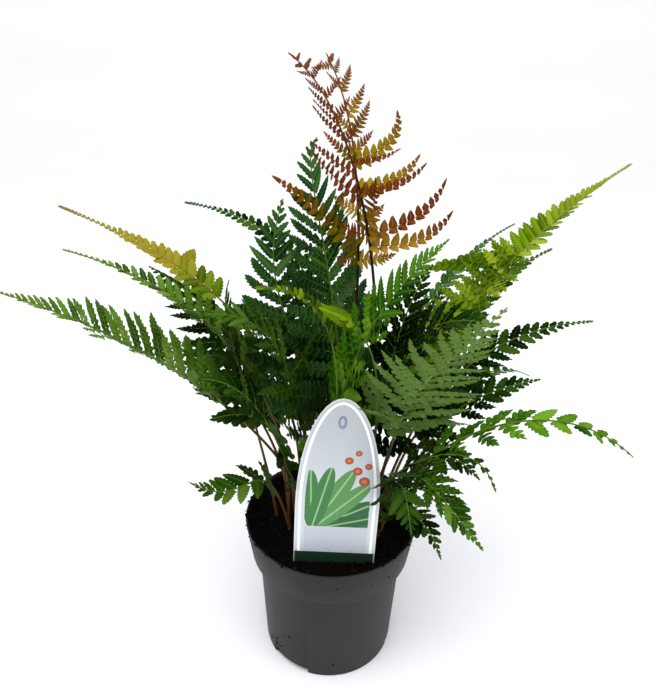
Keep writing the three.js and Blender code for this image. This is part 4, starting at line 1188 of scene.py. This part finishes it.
def grow_frond(number, row, clearing):
    """One frond as a mesh: leaflets in the leaf's finish, midrib and ribs in the stalk's."""
    name, kind = row[0], row[9]
    habit = HABITS[kind] | OWN_WAYS.get(name, {})
    midrib = MIDRIBS[number]
    rng = np.random.default_rng(100 + number)
    leaflets = Leaflets()
    stems = []
    frond_tone = rng.uniform(0.3, 0.6)
    sharp, fall = habit["point"]
    for share, begin, hand, length, widest, turns, blush in side_leaves(row, habit, midrib, rng):

        def half(v, widest=widest):
            return widest * (0.92 + 0.3 * v) * (1 - np.asarray(v) ** sharp) ** fall

        rib, kept = place_rib(clearing, number, midrib.at(share), hand, length, turns, half)
        if rib is None:
            continue
        length *= kept
        tone = float(np.clip(frond_tone + rng.normal(0, 0.29), 0, 1))
        if length > habit["single"]:
            dress_leaf(leaflets, rib, length, half, habit, begin, tone, blush, rng)
            halves = np.linspace(min(0.42, 0.26 + 0.004 * length), 0.12, RIB_STEPS + 1)
            stems.append((rib[0], rib[2][0], halves, 4, 1.0))
        else:
            point, out, _, normal = [line[:1] for line in rib]
            wide = min(widest, max(0.34 * length + 0.3, 0.42 * min(length, 8)))
            droop = 0.12 + rng.uniform(0, 0.1)
            face = square_to(normal, out)
            leaflets.grow(point, out, face, length, wide, droop, 0.4, tone, begin, blush, True)
    end, along, _, up = [line[None] for line in midrib.at(0.985)]
    leaflets.grow(end, along, up, 5.0, 0.7, 0.0, 0.5, frond_tone, 1.0, 1.0, False)

    points, leaf_faces, growth, mark, beneath = leaflets.make(habit["shape"])
    faces = leaf_faces.tolist()
    points, growth, mark = [points], [growth], [mark]
    total = len(points[0])
    spine = midrib.points[::2]
    foot = np.array([[*spine[0][:2], STALK_BOTTOM], [*spine[0][:2], CROWN_HEIGHT - 4]])
    shares = np.concatenate([[0, 0], midrib.shares[::2]])
    halves = stalk_half(shares, 1.8 if name in YOUNG_LEAVES else 0.8)
    stems.append((np.concatenate([foot, spine]), midrib.side[0], halves, 8, shares))
    for line, first, halves, sides, at in stems:
        made, quads = tube(line, first, halves, sides, total)
        points.append(made)
        faces += quads
        total += len(made)
        grown = np.repeat(np.broadcast_to(at, len(line)), sides)
        growth.append(np.stack([grown, grown * 0, grown * 0], 1))
        mark.append(np.zeros((len(made), 3)))
    leaf, stalk = LEAF_FINISHES[habit.get("colour", kind)], STALKS.get(name, BROWN_STALK)
    piece = mesh_piece(f"{name}_frond", np.concatenate(points) * MM, faces, [leaf, stalk], 55)

    mesh = piece.data
    stem_faces = len(faces) - len(leaf_faces)
    mesh.polygons.foreach_set("material_index", np.repeat([0, 1], [len(leaf_faces), stem_faces]))
    for key, rows in (("growth", growth), ("mark", mark)):
        layer = mesh.attributes.new(key, "FLOAT_VECTOR", "POINT")
        layer.data.foreach_set("vector", np.concatenate(rows).ravel())
    under = np.concatenate([beneath, np.zeros(stem_faces)])
    mesh.attributes.new("beneath", "FLOAT", "FACE").data.foreach_set("value", under)
    belongs(piece, [f"frond_{name}"])


MIDRIBS = [Midrib(*row[1:5], row[8]) for row in FRONDS]
clearing = Clearing()
for number, midrib in enumerate(MIDRIBS):
    marks = midrib.points[::4]
    halves = stalk_half(midrib.shares[::4][:-1])
    boxes = Clearing.boxes(marks[:-1], marks[1:], midrib.side[::4][:-1], halves, RIB_THICK)
    clearing.add(boxes, number)
card_foot = np.array([LABEL_FOOT])
card_top = card_foot + (LABEL_SHOULDER + LABEL_ARCH) * np.array(label_axes()[2])
card = Clearing.boxes(card_foot, card_top, np.array([[1.0, 0.0, 0.0]]), np.array([LABEL_HALF]), CARD_THICK)
clearing.add(card, -1)
for number, row in enumerate(FRONDS):
    grow_frond(number, row, clearing)

# ---------------------------------------------------------------------------------------------
# The studio: a plain pale floor that sweeps up behind, a broad soft light above and in front, a
# weaker one at each side, and a pale room round it all.
floor_profile = [(-2.5, 0.0), (1.6, 0.0), (2.0, 0.05), (2.35, 0.25), (2.5, 0.6), (2.5, 3.0)]
floor_points = [(x, y, z) for y, z in floor_profile for x in (-4.0, 4.0)]
floor_faces = [(2 * k, 2 * k + 1, 2 * k + 3, 2 * k + 2) for k in range(len(floor_profile) - 1)]
paper = Finish("pale_paper")
cloudy = paper.noise(paper.place(), 3.0, 2)
paper_colour = paper.blend(cloudy, (238, 239, 243), (243, 244, 247))
paper.done(paper.surface(Base_Color=paper_colour, Roughness=0.7))
floor = mesh_piece("studio_floor", floor_points, floor_faces, [paper.material])


def lamp(name, place, size, power):
    """A soft light that faces the plant."""
    light = bpy.data.lights.new(name, "AREA")
    light.shape = "RECTANGLE"
    light.size, light.size_y = size
    light.energy = power
    holder = bpy.data.objects.new(name, light)
    holder.location = place
    aim = Vector((0, 0, 0.2)) - Vector(place)
    holder.rotation_euler = aim.to_track_quat("-Z", "Y").to_euler()
    bpy.context.scene.collection.objects.link(holder)


lamp("top_light", (-0.25, -0.55, 1.6), (1.3, 1.0), 12)
lamp("left_light", (-1.5, -0.6, 0.7), (0.8, 1.0), 4)
lamp("right_light", (1.5, -0.5, 0.8), (0.8, 1.0), 4)

ROOM_LIGHT = 1.05
GAMMA = 0.88
world = bpy.data.worlds.new("pale_room")
world.use_nodes = True
room = world.node_tree.nodes["Background"].inputs
room["Color"].default_value = (1.0, 1.0, 1.0, 1.0)
room["Strength"].default_value = ROOM_LIGHT
bpy.context.scene.world = world
bpy.context.scene.view_settings.view_transform = "Standard"
bpy.context.scene.view_settings.gamma = GAMMA

# The camera stands before the plant, a little to the left and above it, and looks down at it.
CAMERA_AT = (-5.1, -383.0, 464.0)
CAMERA_PITCH = -27.8
CAMERA_ROLL = 1.25
FOCAL_PIXELS = 650.0
FRAME_HEIGHT = 700.0
camera_data = bpy.data.cameras.new("camera")
camera_data.sensor_width = 36.0
camera_data.lens = camera_data.sensor_width * FOCAL_PIXELS / FRAME_HEIGHT
camera_data.clip_start = 0.02
camera = bpy.data.objects.new("camera", camera_data)
place = Matrix.Translation([v * MM for v in CAMERA_AT])
pitch = Matrix.Rotation(math.radians(90 + CAMERA_PITCH), 4, "X")
roll = Matrix.Rotation(math.radians(CAMERA_ROLL), 4, "Z")
camera.matrix_world = place @ pitch @ roll
bpy.context.scene.collection.objects.link(camera)
bpy.context.scene.camera = camera
